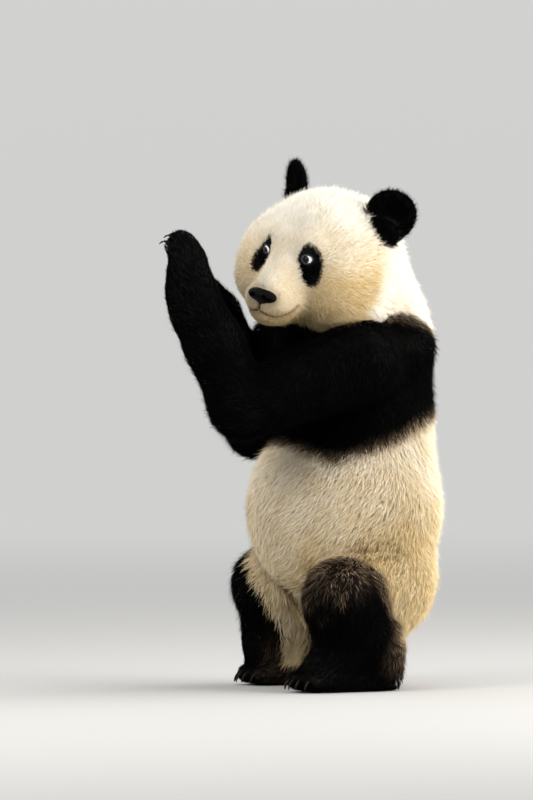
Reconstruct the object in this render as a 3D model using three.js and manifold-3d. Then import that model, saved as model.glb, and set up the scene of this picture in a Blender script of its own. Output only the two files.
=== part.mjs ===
// Giant panda, a young one, life size: it stands on its hind feet, both forepaws reach forward
// and the head is turned to its own left.
// Millimetres, +Z up. The animal faces -Y and its left side is +X.
import * as THREE from 'three';
import Module from 'manifold-3d';

const wasm = await Module();
wasm.setup();

// ---------------------------------------------------------------- driving sizes
const SEAM = 0.34;            // clear distance between a node and the one it lies against
const HALF_SEAM = 0.17;       // the same, taken from each side of a flat cut
const SINK = 9;               // how deep the root of a lock or claw lies in its node

const CELL = {                // edge of the sampling grid of each part
  head: 24, muzzle: 15, body: 39, tail: 25, arm: 31, leg: 32,
  forepaw: 18.5, hindpaw: 21.5, nose: 8.9,
};

const HEAD = { at: [20, -56, 860], yaw: 27, pitch: 8.5, roll: 15.5 };
const EYE = {
  left: [49, -119, 24], right: [-46, -119, 19], look: [0.3, -0.95, 0.05],
  ball: 11.5, pocket: 11.9, lid: 14.6, hole: 15.1,
};
const PATCH = {
  left: { at: [61, -114, 14], along: 43, across: 25.5, slant: 9 },
  right: { at: [56, -114, 8], along: 45, across: 17, slant: 23 },
  deep: 36,
};
const EAR = {
  at: [117, 46, 110], wide: 53, tall: 54, thick: 17, turn: 38, lean: 8,
  root: {
    left: { at: [12, 14, -36], r: [40, 26, 32] },
    right: { at: [-6, 6, -22], r: [38, 18, 24] },
  },
};
const NOSE = { at: [0, -189, -53], wide: 33, deep: 17, tall: 14 };

const MUZZLE = { at: [0, -176, -66], r: [92, 84, 84] };         // the ball that parts it from the head
const BAND_TOP = { at: [0, 90, 738], up: [0, 0.33, 1] };        // upper edge of the dark band
const HEM = { at: [0, -80, 453], front: [0, 0.84, 1], back: [0, -0.487, 1] };   // its lower edge, a V

const ARM = {
  left: {
    shoulder: [142, -30, 650], elbow: [142, -292, 562], wrist: [115, -390, 782], tip: [105, -400, 926],
    palm: [-0.8, -0.6, 0],
  },
  right: {
    shoulder: [-138, -52, 682], elbow: [-176, -104, 520], wrist: [-138, -212, 736], tip: [-118, -286, 850],
    palm: [0.1, -1, 0],
  },
  shoulderR: 84, elbowR: 65, foreR: 58, wristR: 46, digits: 5,
};
const LEG = {
  left: {
    hip: [106, -14, 214], knee: [150, -78, 182], calf: [142, -4, 84], shin: [148, -78, 84],
    heel: [138, 14, 28], ball: [150, -122, 28],
  },
  right: {
    hip: [-106, -14, 224], knee: [-148, -88, 204], calf: [-140, 2, 84], shin: [-142, -94, 84],
    heel: [-138, 22, 28], ball: [-142, -90, 28],
  },
  hipR: 84, kneeR: 75, calfR: 66, shinR: 57, heelR: 39, ballR: 43, digits: 5,
};

// ---------------------------------------------------------------- small vector helpers
const add = (a, b, s = 1) => [a[0] + b[0] * s, a[1] + b[1] * s, a[2] + b[2] * s];
const sub = (a, b) => [a[0] - b[0], a[1] - b[1], a[2] - b[2]];
const dot = (a, b) => a[0] * b[0] + a[1] * b[1] + a[2] * b[2];
const cross = (a, b) => [
  a[1] * b[2] - a[2] * b[1],
  a[2] * b[0] - a[0] * b[2],
  a[0] * b[1] - a[1] * b[0],
];
const scale = (a, s) => [a[0] * s, a[1] * s, a[2] * s];
const unit = (a) => scale(a, 1 / Math.hypot(a[0], a[1], a[2]));
const mix = (a, b, t) => add(scale(a, 1 - t), b, t);
const rad = (d) => d * Math.PI / 180;

function seeded(seed) {
  let s = seed >>> 0;
  return () => {
    s = (s * 1664525 + 1013904223) >>> 0;
    return s / 4294967296;
  };
}

// A frame is an origin with three unit axes: x to the animal's left, y back, z up.
function frameOf(at, yaw, pitch, roll) {
  const m = new THREE.Matrix4().makeRotationZ(rad(yaw))
    .multiply(new THREE.Matrix4().makeRotationX(rad(pitch)))
    .multiply(new THREE.Matrix4().makeRotationY(rad(roll)));
  const e = m.elements;
  return { at, x: [e[0], e[1], e[2]], y: [e[4], e[5], e[6]], z: [e[8], e[9], e[10]] };
}
const toWorld = (f, p) => add(add(add(f.at, f.x, p[0]), f.y, p[1]), f.z, p[2]);
const turnOut = (f, v) => add(add(scale(f.x, v[0]), f.y, v[1]), f.z, v[2]);
const toLocal = (f, p) => {
  const d = sub(p, f.at);
  return [dot(d, f.x), dot(d, f.y), dot(d, f.z)];
};
const frameIn = (f, at, x, y, z) => ({
  at: toWorld(f, at), x: turnOut(f, x), y: turnOut(f, y), z: turnOut(f, z),
});

// ---------------------------------------------------------------- rounded forms
// A form is { d, lo, hi }: a distance function and the box that holds its inside.
const ball = (c, r) => ({
  d: (x, y, z) => Math.hypot(x - c[0], y - c[1], z - c[2]) - r,
  lo: add(c, [r, r, r], -1),
  hi: add(c, [r, r, r]),
});

function egg(c, r, f = null) {
  const reach = Math.max(...r);
  const far = f ? [reach, reach, reach] : r;
  const d = (x, y, z) => {
    let q = [x - c[0], y - c[1], z - c[2]];
    if (f) q = [dot(q, f.x), dot(q, f.y), dot(q, f.z)];
    const k0 = Math.hypot(q[0] / r[0], q[1] / r[1], q[2] / r[2]);
    const k1 = Math.hypot(q[0] / r[0] ** 2, q[1] / r[1] ** 2, q[2] / r[2] ** 2);
    return k1 < 1e-9 ? -Math.min(...r) : k0 * (k0 - 1) / k1;
  };
  return { d, lo: add(c, far, -1), hi: add(c, far) };
}

function bone(a, b, ra, rb) {
  const ba = sub(b, a);
  const l2 = dot(ba, ba);
  const rr = ra - rb;
  const a2 = l2 - rr * rr;
  const il2 = 1 / l2;
  const d = (px, py, pz) => {
    const pa = [px - a[0], py - a[1], pz - a[2]];
    const y = dot(pa, ba);
    const z = y - l2;
    const q = [pa[0] * l2 - ba[0] * y, pa[1] * l2 - ba[1] * y, pa[2] * l2 - ba[2] * y];
    const x2 = dot(q, q);
    const y2 = y * y * l2;
    const z2 = z * z * l2;
    const k = Math.sign(rr) * rr * rr * x2;
    if (Math.sign(z) * a2 * z2 > k) return Math.sqrt(x2 + z2) * il2 - rb;
    if (Math.sign(y) * a2 * y2 < k) return Math.sqrt(x2 + y2) * il2 - ra;
    return (Math.sqrt(x2 * a2 * il2) + y * rr) * il2 - ra;
  };
  const lo = a.map((v, i) => Math.min(v - ra, b[i] - rb));
  const hi = a.map((v, i) => Math.max(v + ra, b[i] + rb));
  return { d, lo, hi };
}

const soft = (a, b, k) => {
  const h = Math.max(k - Math.abs(a - b), 0) / k;
  return Math.min(a, b) - h * h * k * 0.25;
};

function blend(k, ...forms) {
  const d = (x, y, z) => {
    let v = forms[0].d(x, y, z);
    for (let i = 1; i < forms.length; i += 1) v = soft(v, forms[i].d(x, y, z), k);
    return v;
  };
  const lo = forms[0].lo.map((_, i) => Math.min(...forms.map((f) => f.lo[i])) - k / 4);
  const hi = forms[0].hi.map((_, i) => Math.max(...forms.map((f) => f.hi[i])) + k / 4);
  return { d, lo, hi };
}

const carve = (form, tool, k) => ({
  d: (x, y, z) => -soft(-form.d(x, y, z), tool.d(x, y, z), k),
  lo: form.lo,
  hi: form.hi,
});

const within = (form, limit, more) => ({
  d: (x, y, z) => Math.max(form.d(x, y, z), limit.d(x, y, z) - more),
  lo: form.lo.map((v, i) => Math.max(v, limit.lo[i] - more - 2)),
  hi: form.hi.map((v, i) => Math.min(v, limit.hi[i] + more + 2)),
});

const side = (form, at, normal, more) => {
  const n = unit(normal);
  return {
    d: (x, y, z) => Math.max(
      form.d(x, y, z),
      (x - at[0]) * n[0] + (y - at[1]) * n[1] + (z - at[2]) * n[2] - more,
    ),
    lo: form.lo,
    hi: form.hi,
  };
};

function gradient(form, p) {
  const e = 0.4;
  const g = [
    form.d(p[0] + e, p[1], p[2]) - form.d(p[0] - e, p[1], p[2]),
    form.d(p[0], p[1] + e, p[2]) - form.d(p[0], p[1] - e, p[2]),
    form.d(p[0], p[1], p[2] + e) - form.d(p[0], p[1], p[2] - e),
  ];
  return scale(g, 1 / (2 * e));
}

function ontoSurface(form, p, steps = 4, most = Infinity) {
  let q = p;
  for (let i = 0; i < steps; i += 1) {
    const g = gradient(form, q);
    const gg = Math.max(dot(g, g), 0.05);
    q = add(q, g, -form.d(...q) / gg);
  }
  const move = sub(q, p);
  const far = Math.hypot(...move);
  return far > most ? add(p, move, most / far) : q;
}

// ---------------------------------------------------------------- meshing on a grid
// One vertex in each grid cell that the surface crosses, one quad at each crossed grid edge.
const EDGES = [[0, 1], [2, 3], [4, 5], [6, 7], [0, 2], [1, 3], [4, 6], [5, 7], [0, 4], [1, 5], [2, 6], [3, 7]];

function netOf(form, cell, shift) {
  const n = [0, 1, 2].map((i) => Math.ceil((form.hi[i] - form.lo[i]) / cell) + 4);
  const o = form.lo.map((v) => (Math.floor(v / cell) - 1 + shift) * cell);
  const at = (i, j, k) => (k * n[1] + j) * n[0] + i;
  const val = new Float64Array(n[0] * n[1] * n[2]);
  for (let k = 0; k < n[2]; k += 1) {
    for (let j = 0; j < n[1]; j += 1) {
      for (let i = 0; i < n[0]; i += 1) {
        val[at(i, j, k)] = form.d(o[0] + i * cell, o[1] + j * cell, o[2] + k * cell);
      }
    }
  }
  const verts = [];
  const idOf = new Int32Array(val.length).fill(-1);
  for (let k = 0; k < n[2] - 1; k += 1) {
    for (let j = 0; j < n[1] - 1; j += 1) {
      for (let i = 0; i < n[0] - 1; i += 1) {
        const c = [];
        for (let m = 0; m < 8; m += 1) c.push(val[at(i + (m & 1), j + ((m >> 1) & 1), k + (m >> 2))]);
        const inside = c.filter((v) => v < 0).length;
        if (inside === 0 || inside === 8) continue;
        let sum = [0, 0, 0];
        let count = 0;
        for (const [a, b] of EDGES) {
          if ((c[a] < 0) === (c[b] < 0)) continue;
          const t = c[a] / (c[a] - c[b]);
          const pa = [a & 1, (a >> 1) & 1, a >> 2];
          const pb = [b & 1, (b >> 1) & 1, b >> 2];
          sum = add(sum, mix(pa, pb, t));
          count += 1;
        }
        const p = add(o, add([i, j, k], sum, 1 / count), cell);
        idOf[at(i, j, k)] = verts.length;
        verts.push(ontoSurface(form, p, 4, cell * 0.45));
      }
    }
  }
  const tris = [];
  const quad = (a, b, c, d, out) => {
    const q = out ? [a, b, c, d] : [d, c, b, a];
    const [p0, p1, p2, p3] = q.map((m) => verts[m]);
    const one = Math.hypot(...sub(p0, p2));
    const two = Math.hypot(...sub(p1, p3));
    if (one < two) tris.push([q[0], q[1], q[2]], [q[0], q[2], q[3]]);
    else tris.push([q[0], q[1], q[3]], [q[1], q[2], q[3]]);
  };
  for (let k = 1; k < n[2] - 1; k += 1) {
    for (let j = 1; j < n[1] - 1; j += 1) {
      for (let i = 1; i < n[0] - 1; i += 1) {
        const here = val[at(i, j, k)] < 0;
        if (here !== (val[at(i + 1, j, k)] < 0)) {
          quad(idOf[at(i, j - 1, k - 1)], idOf[at(i, j, k - 1)], idOf[at(i, j, k)], idOf[at(i, j - 1, k)], here);
        }
        if (here !== (val[at(i, j + 1, k)] < 0)) {
          quad(idOf[at(i - 1, j, k - 1)], idOf[at(i - 1, j, k)], idOf[at(i, j, k)], idOf[at(i, j, k - 1)], here);
        }
        if (here !== (val[at(i, j, k + 1)] < 0)) {
          quad(idOf[at(i - 1, j - 1, k)], idOf[at(i, j - 1, k)], idOf[at(i, j, k)], idOf[at(i - 1, j, k)], here);
        }
      }
    }
  }
  return { verts, tris, form };
}

// ---------------------------------------------------------------- closed meshes as solids
function solid(mesh) {
  const flat = new Float32Array(mesh.verts.length * 3);
  mesh.verts.forEach((p, i) => flat.set(p, i * 3));
  const made = new wasm.Mesh({
    numProp: 3, vertProperties: flat, triVerts: new Uint32Array(mesh.tris.flat()),
  });
  return new wasm.Manifold(made);
}

// Where a thin edge falls badly between the grid points the grid is moved or made a little finer.
function skinOf(form, cell) {
  for (const finer of [1, 0.97, 0.94, 0.91]) {
    for (const shift of [0.37, 0.13, 0.61, 0.83, 0.5, 0.25, 0.72, 0.04]) {
      try {
        const net = netOf(form, cell * finer, shift);
        return { ...net, body: solid(net) };
      } catch (e) {
        if (e.code !== 'NotManifold') throw e;
      }
    }
  }
  throw new Error('no grid gives this form a closed skin');
}

// The same skin moved outward: what the next node is cut by.
const grown = (skin, by) => solid({
  verts: skin.verts.map((p) => add(p, unit(gradient(skin.form, p)), by)),
  tris: skin.tris,
});

const BIG = 1600;
function halfSpace(at, normal, inset = 0) {
  const n = unit(normal);
  const u = unit(cross(n, Math.abs(n[0]) < 0.7 ? [1, 0, 0] : [0, 1, 0]));
  const v = cross(n, u);
  const verts = [];
  for (const s of [-inset, BIG]) {
    for (const [a, b] of [[-1, -1], [1, -1], [1, 1], [-1, 1]]) {
      verts.push(add(add(add(at, n, s), u, a * BIG), v, b * BIG));
    }
  }
  const tris = [
    [0, 2, 1], [0, 3, 2], [4, 5, 6], [4, 6, 7], [0, 1, 5], [0, 5, 4],
    [1, 2, 6], [1, 6, 5], [2, 3, 7], [2, 7, 6], [3, 0, 4], [3, 4, 7],
  ];
  return solid({ verts, tris });
}

// A round or flattened ball made from an icosahedron.
function bead(c, r, f = null, detail = 3) {
  const g = new THREE.IcosahedronGeometry(1, detail).getAttribute('position');
  const seen = new Map();
  const verts = [];
  const index = [];
  for (let i = 0; i < g.count; i += 1) {
    const p = [g.getX(i), g.getY(i), g.getZ(i)];
    const key = p.map((v) => Math.round(v * 1e5)).join();
    if (!seen.has(key)) {
      seen.set(key, verts.length);
      const q = [p[0] * r[0], p[1] * r[1], p[2] * r[2]];
      verts.push(add(c, f ? turnOut(f, q) : q));
    }
    index.push(seen.get(key));
  }
  const tris = [];
  for (let i = 0; i < index.length; i += 3) tris.push(index.slice(i, i + 3));
  return solid({ verts, tris });
}

// A closed sweep along points. Each ring has a half width across and a half height out.
// With an arc of a quarter turn and three sides the ring is flat below, as a blade of hair is.
function sweep(points, wide, high, out, sides = 4, arc = 2 * Math.PI / sides) {
  const verts = [];
  const rings = [];
  points.forEach((p, i) => {
    const a = points[Math.max(i - 1, 0)];
    const b = points[Math.min(i + 1, points.length - 1)];
    const t = unit(sub(b, a));
    const s = unit(cross(t, out));
    const n = cross(s, t);
    if (wide[i] === 0) {
      rings.push([verts.length]);
      verts.push(p);
      return;
    }
    const ring = [];
    for (let m = 0; m < sides; m += 1) {
      const w = arc * m;
      ring.push(verts.length);
      verts.push(add(add(p, s, Math.cos(w) * wide[i]), n, Math.sin(w) * high[i]));
    }
    rings.push(ring);
  });
  const tris = [];
  for (let m = 1; m < sides - 1; m += 1) tris.push([rings[0][0], rings[0][m], rings[0][m + 1]]);
  for (let i = 0; i < rings.length - 1; i += 1) {
    const a = rings[i];
    const b = rings[i + 1];
    for (let m = 0; m < sides; m += 1) {
      const m2 = (m + 1) % sides;
      if (b.length === 1) tris.push([a[m], b[0], a[m2]]);
      else tris.push([a[m], b[m], b[m2]], [a[m], b[m2], a[m2]]);
    }
  }
  const last = rings[rings.length - 1];
  if (last.length > 1) for (let m = 1; m < sides - 1; m += 1) tris.push([last[0], last[m + 1], last[m]]);
  return solid({ verts, tris });
}

// The cuts leave some edges and heights far below a tenth of a millimetre. Each such edge is closed
// up and each such flat triangle is turned, where the surface stays simple and closed.
const LEAST_EDGE = 0.15;
const LEAST_HEIGHT = 0.02;

function tidy(shape) {
  const raw = shape.getMesh();
  const verts = [];
  for (let i = 0; i < raw.vertProperties.length; i += 3) verts.push([...raw.vertProperties.slice(i, i + 3)]);
  let tris = [];
  for (let i = 0; i < raw.triVerts.length; i += 3) tris.push([...raw.triVerts.slice(i, i + 3)]);
  const length = (a, b) => Math.hypot(...sub(verts[a], verts[b]));
  const normal = (t, a = -1, b = -1) => {
    const [p, q, r] = t.map((v) => verts[v === a ? b : v]);
    return cross(sub(q, p), sub(r, p));
  };
  for (let pass = 0; pass < 12; pass += 1) {
    const fans = verts.map(() => []);
    tris.forEach((t, i) => t.forEach((v) => fans[v].push(i)));
    const ring = (v) => new Set(fans[v].flatMap((i) => tris[i]).filter((w) => w !== v));
    const busy = new Set();
    const gone = new Set();
    let changed = 0;
    for (let i = 0; i < tris.length; i += 1) {
      if (gone.has(i) || tris[i].some((v) => busy.has(v))) continue;
      const t = tris[i];
      const sides = [0, 1, 2].map((m) => length(t[m], t[(m + 1) % 3]));
      const m = sides.indexOf(Math.min(...sides));
      const long = sides.indexOf(Math.max(...sides));
      if (sides[m] < LEAST_EDGE) {
        const [a, b] = [t[m], t[(m + 1) % 3]];
        const ra = ring(a);
        const rb = ring(b);
        const shared = [...ra].filter((v) => rb.has(v));
        if (shared.length !== 2 || [...ra, ...rb].some((v) => busy.has(v))) continue;
        const rest = fans[a].filter((f) => !tris[f].includes(b));
        const turned = rest.some((f) => {
          const before = normal(tris[f]);
          const after = normal(tris[f], a, b);
          return dot(before, after) < 0 && Math.hypot(...before) > 0.05;
        });
        if (turned) continue;
        fans[a].filter((f) => tris[f].includes(b)).forEach((f) => gone.add(f));
        rest.forEach((f) => { tris[f] = tris[f].map((v) => (v === a ? b : v)); });
        [...ra, ...rb, a, b].forEach((v) => busy.add(v));
        changed += 1;
      } else if (Math.hypot(...normal(t)) / sides[long] < LEAST_HEIGHT) {
        const [a, b, c] = [t[long], t[(long + 1) % 3], t[(long + 2) % 3]];
        const other = fans[a].find((f) => f !== i && tris[f].includes(b));
        const d = tris[other].find((v) => v !== a && v !== b);
        if (gone.has(other) || busy.has(d) || c === d || ring(c).has(d)) continue;
        tris[i] = [a, d, c];
        tris[other] = [d, b, c];
        [a, b, c, d].forEach((v) => busy.add(v));
        changed += 1;
      }
    }
    tris = tris.filter((_, i) => !gone.has(i));
    if (!changed) break;
  }
  const used = [...new Set(tris.flat())];
  const place = new Map(used.map((v, i) => [v, i]));
  return { verts: used.map((v) => verts[v]), tris: tris.map((t) => t.map((v) => place.get(v))) };
}

const largest = (s) => s.decompose().sort((a, b) => b.volume() - a.volume())[0];

// ---------------------------------------------------------------- the body's forms
const belly = egg([0, 4, 358], [192, 200, 213]);
const chest = egg([0, 45, 552], [160, 142, 170]);
const rump = egg([0, 40, 200], [150, 140, 130]);
const haunch = [1, -1].map((s) => egg([s * 98, 44, 216], [86, 106, 104]));
const blade = [1, -1].map((s) => egg([s * 94, 62, 680], [76, 94, 58]));
const withers = egg([0, 58, 690], [132, 114, 110]);
const trunkForm = blend(60, blend(40, belly, rump, ...haunch), chest, blend(40, withers, ...blade));
const neckForm = bone([2, 54, 735], [10, 20, 850], 120, 100);

const H = frameOf(HEAD.at, HEAD.yaw, HEAD.pitch, HEAD.roll);
const inHead = (p) => toWorld(H, p);
const headEgg = (c, r) => egg(inHead(c), r, H);
const headBone = (a, b, ra, rb) => bone(inHead(a), inHead(b), ra, rb);
const mirror = (p, s) => [p[0] * s, p[1], p[2]];

const headParts = [headEgg([0, 10, 14], [134, 138, 121])];
for (const s of [1, -1]) {
  headParts.push(headEgg([s * 84, -19, -43], [82, 100, 86]), headEgg([s * 83, -36, 8], [59, 76, 60]));
}
headParts.push(headEgg([0, -22, -78], [98, 98, 66]));
const skullForm = blend(34, ...headParts);
const muzzleForm = blend(
  16,
  headBone([0, -92, -40], [0, -154, -62], 64, 42),
  headBone([0, -104, 20], [0, -166, -30], 38, 25),
  headEgg([0, -153, -90], [42, 43, 29]),
  headEgg([30, -150, -68], [30, 36, 28]),
  headEgg([-30, -150, -68], [30, 36, 28]),
);
const browForm = blend(
  14,
  headEgg([40, -102, 44], [36, 26, 26]),
  headEgg([-40, -102, 44], [36, 26, 26]),
);
const bareHead = blend(26, skullForm, muzzleForm, browForm);
const headForm = [1, -1].reduce(
  (form, s) => carve(form, headEgg([s * 60, -136, 8], [19, 15, 24]), 12),
  bareHead,
);

const bodyForm = blend(40, trunkForm, neckForm);

// ---------------------------------------------------------------- nodes and how they meet
const nodes = [];
const keepOut = [];           // solids that later nodes are cut by

function free(s) {
  let left = s;
  for (const k of keepOut) left = left.subtract(k);
  return largest(left);
}

const WHITE = { color: '#e8dfcb', roughness: 0.9, metalness: 0 };
const CREAM = { color: '#dfd2b4', roughness: 0.9, metalness: 0 };
const BLACK = { color: '#1c1a1b', roughness: 0.85, metalness: 0 };
const BARE = { color: '#0e0c0c', roughness: 0.35, metalness: 0 };
const WET = { color: '#1a0f0a', roughness: 0.08, metalness: 0 };

// Each node also claims the room that it fills, a seam's width grown: no other node's hair enters it.
function keep(name, shape, look, room = null) {
  nodes.push({ name, shape: largest(shape), look, room });
}

// ---- head with the openings for the eyes, and the plugs of dark skin that carry the lids
const snoutBall = (more) => bead(inHead(MUZZLE.at), MUZZLE.r.map((r) => r + more), H, 2);
const headSkin = skinOf(headForm, CELL.head);
const snoutRoom = headEgg(MUZZLE.at, MUZZLE.r);
const snoutSkin = skinOf(within(headForm, snoutRoom, CELL.muzzle * 1.3), CELL.muzzle);
let head = headSkin.body.subtract(snoutBall(HALF_SEAM));
let muzzle = snoutSkin.body.intersect(snoutBall(-HALF_SEAM));
const headRoom = grown(headSkin, SEAM).subtract(snoutBall(0));
const snoutRoomy = grown(snoutSkin, SEAM).intersect(snoutBall(0));
keepOut.push(headRoom, snoutRoomy);

const MOUTH = [
  [0, -198, -82], [8, -192, -85], [18, -187, -88], [32, -180, -89], [46, -172, -84], [55, -160, -74],
  [60, -148, -65],
];
const mouthLine = (s) => MOUTH.map((p) => ontoSurface(headForm, inHead(mirror(p, s))));
for (const s of [1, -1]) {
  const line = mouthLine(s);
  muzzle = muzzle.subtract(sweep(line, [2.4, 2.4, 2.4, 2.4, 2.4, 2.2, 1.2], [4, 4, 4, 4, 4, 3.4, 1.4], H.y, 4));
}
const lipTop = [[0, -205, -60], [0, -202, -82]].map((p) => ontoSurface(headForm, inHead(p)));
muzzle = muzzle.subtract(sweep(lipTop, [1.6, 1.6], [3, 3], H.y, 4));

const eyeNodes = [];
for (const [name, s] of [['left', 1], ['right', -1]]) {
  const eye = inHead(EYE[name]);
  const look = unit(turnOut(H, mirror(EYE.look, s)));
  const patch = PATCH[name];
  const centre = ontoSurface(headForm, inHead(mirror(patch.at, s)));
  const out = unit(gradient(headForm, centre));
  const lean = turnOut(H, mirror([Math.sin(rad(patch.slant)), 0, -Math.cos(rad(patch.slant))], s));
  const across = unit(cross(out, lean));
  const along = unit(cross(across, out));
  const wall = { at: centre, x: across, y: out, z: along };
  const cut = (more) => bead(
    add(centre, out, 4), [patch.across + more, PATCH.deep + more, patch.along + more], wall, 2,
  );
  const level = unit(turnOut(H, mirror([0.94, 0.1, 0.2], s)));
  const up = unit(cross(look, level));
  const slit = { x: unit(cross(look, up)), y: look, z: up };
  const ring = bead(eye, [EYE.lid, EYE.lid, EYE.lid], null, 2)
    .intersect(halfSpace(add(eye, look, -4), look));
  let plug = head.intersect(cut(-HALF_SEAM)).add(ring);
  plug = plug.subtract(bead(eye, [EYE.pocket, EYE.pocket, EYE.pocket], null, 2));
  plug = plug.subtract(bead(add(eye, look, 9), [11, 10, 7.6], slit, 2));
  head = head.subtract(cut(HALF_SEAM)).subtract(bead(eye, [EYE.hole, EYE.hole, EYE.hole], null, 2));
  eyeNodes.push([`eye_patch_${name}`, plug, BLACK]);
  eyeNodes.push([`eye_${name}`, bead(eye, [EYE.ball, EYE.ball, EYE.ball], null, 2), WET]);
}

// ---- nose
const noseForm = blend(
  8,
  headEgg(NOSE.at, [NOSE.wide, NOSE.deep, NOSE.tall]),
  headEgg(add(NOSE.at, [0, 4, -12]), [11, 9, 11]),
);
const noseSkin = skinOf(noseForm, CELL.nose);
let nose = noseSkin.body;
for (const s of [1, -1]) {
  nose = nose.subtract(bead(inHead([s * 13, -206, -52]), [5.6, 12, 4.2], H, 1));
}
keep('head', head, WHITE, headRoom);
keep('muzzle', muzzle, WHITE, snoutRoomy);
for (const [name, shape, look] of eyeNodes) keep(name, shape, look);
keep('nose', free(nose), BARE);
keepOut.push(grown(noseSkin, SEAM));

// ---- ears
for (const [name, s] of [['left', 1], ['right', -1]]) {
  const t = rad(EAR.turn);
  const l = rad(EAR.lean);
  const face = [s * Math.sin(t), -Math.cos(t), 0];
  const tall = unit([s * Math.sin(l), 0, Math.cos(l)]);
  const sideways = unit(cross(face, tall));
  const f = frameIn(H, mirror(EAR.at, s), sideways, scale(unit(cross(tall, sideways)), 1), tall);
  const cupAt = add(f.at, turnOut(H, face), EAR.thick + 3);
  const shellOf = (more) => bead(f.at, [EAR.wide + more, EAR.thick + more, EAR.tall + more], f, 2)
    .add(bead(toWorld(f, [0, -4, -34]), [35 + more, 17 + more, 34 + more], f, 2));
  const root = EAR.root[name];
  const rootOf = (more) => bead(toWorld(f, root.at), root.r.map((r) => r + more), f, 2);
  const cup = bead(cupAt, [EAR.wide * 0.7, EAR.thick, EAR.tall * 0.7], f, 2);
  const earRoom = shellOf(SEAM * 1.5).add(rootOf(SEAM * 1.5));
  keep(`ear_${name}`, free(shellOf(0).subtract(cup).add(rootOf(0))), BLACK, earRoom);
  keepOut.push(earRoom);
}

// ---- neck, dark shoulder band and torso: one skin, parted by a plane above and a V below
const room = 1.25;            // how far past a cut, in cells, a form is meshed
const up1 = unit(BAND_TOP.up);
const lowEdge = (more) => halfSpace(HEM.at, HEM.front, more).intersect(halfSpace(HEM.at, HEM.back, more));
const bodySkin = skinOf(bodyForm, CELL.body);
const bodyFree = free(bodySkin.body);
const neckCut = bodyFree.intersect(halfSpace(BAND_TOP.at, up1, -HALF_SEAM));
const below = bodyFree.subtract(halfSpace(BAND_TOP.at, up1, HALF_SEAM));
const bodyRoom = grown(bodySkin, SEAM);
const above = halfSpace(BAND_TOP.at, up1);
const lowerRoom = bodyRoom.subtract(above);
keep('neck', neckCut, WHITE, bodyRoom.intersect(above));
keep('shoulders', below.intersect(lowEdge(-HALF_SEAM)), BLACK, lowerRoom.intersect(lowEdge(0)));
keep('torso', below.subtract(lowEdge(HALF_SEAM)), CREAM, lowerRoom.subtract(lowEdge(0)));
keepOut.push(bodyRoom);

// ---- tail, a short flat flap that lies down on the rump
const tailForm = blend(
  14,
  egg([0, 184, 262], [34, 27, 44]),
  egg([0, 182, 216], [38, 26, 46]),
  egg([0, 166, 168], [30, 22, 34]),
);
const tailSkin = skinOf(tailForm, CELL.tail);
const tailRoom = grown(tailSkin, SEAM);
keep('tail', free(tailSkin.body), CREAM, tailRoom);
keepOut.push(tailRoom);

// ---- arms
for (const [name, s] of [['left', 1], ['right', -1]]) {
  const a = ARM[name];
  const upper = bone(a.shoulder, a.elbow, ARM.shoulderR, ARM.elbowR);
  const fore = bone(a.elbow, mix(a.elbow, a.wrist, 0.55), ARM.elbowR, ARM.foreR);
  const low = bone(mix(a.elbow, a.wrist, 0.55), a.wrist, ARM.foreR, ARM.wristR);
  const reach = unit(sub(a.tip, a.wrist));
  const palmOut = unit(sub(a.palm, scale(reach, dot(a.palm, reach))));
  const across = unit(cross(reach, palmOut));
  const w = { at: a.wrist, x: across, y: reach, z: palmOut };
  const at = (p) => toWorld(w, p);
  const toes = [];
  const claws = [];
  for (let i = 0; i < ARM.digits; i += 1) {
    const u = (i - 2) / 2;
    const base = at([u * 33, 78 - 8 * u * u, 0]);
    const end = at([u * 40, 112 - 16 * u * u, 10]);
    toes.push(bone(base, end, 20, 17.5));
    const nail = [[0, 4], [8, 9], [11, 17], [7, 28]].map(([r, h]) => (
      at([u * (40 + r * 0.14), 112 - 16 * u * u + r, h + 10])
    ));
    claws.push(sweep(nail, [5, 4.4, 3, 0], [5.4, 4.6, 3.2, 0], palmOut, 4));
  }
  const palm = egg(at([0, 46, 0]), [52, 62, 34], w);
  const pad = egg(at([0, 50, 22]), [37, 22, 17], w);
  const stub = bone(at([0, -40, 0]), at([0, 14, 0]), ARM.wristR - 4, ARM.wristR - 4);
  const wristForm = blend(22, palm, low, stub);
  const pawForm = blend(12, wristForm, pad, ...toes);
  const limb = blend(26, upper, fore, wristForm);
  const u1 = unit(sub(a.elbow, a.shoulder));
  const u2 = unit(sub(a.wrist, a.elbow));
  const fold = unit(add(u1, u2));
  const past = CELL.arm * room;
  const armSkin = skinOf(side(limb, a.wrist, reach, past), CELL.arm);
  const pawSkin = skinOf(side(pawForm, a.wrist, scale(reach, -1), CELL.forepaw * room), CELL.forepaw);
  const upperArm = armSkin.body.subtract(halfSpace(a.elbow, fold, HALF_SEAM));
  const foreArm = armSkin.body.intersect(halfSpace(a.elbow, fold, -HALF_SEAM))
    .subtract(halfSpace(a.wrist, reach, HALF_SEAM));
  const paw = pawSkin.body.intersect(halfSpace(a.wrist, reach, -HALF_SEAM));
  const armRoom = grown(armSkin, SEAM);
  const beyond = halfSpace(a.elbow, fold);
  const hand = halfSpace(a.wrist, reach);
  keep(`upper_arm_${name}`, free(upperArm), BLACK, armRoom.subtract(beyond));
  keep(`forearm_${name}`, free(foreArm), BLACK, armRoom.intersect(beyond).subtract(hand));
  keep(`forepaw_${name}`, free(claws.reduce((m, c) => m.add(c), paw)), BLACK, grown(pawSkin, SEAM).intersect(hand));
  a.form = limb;
}

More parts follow.
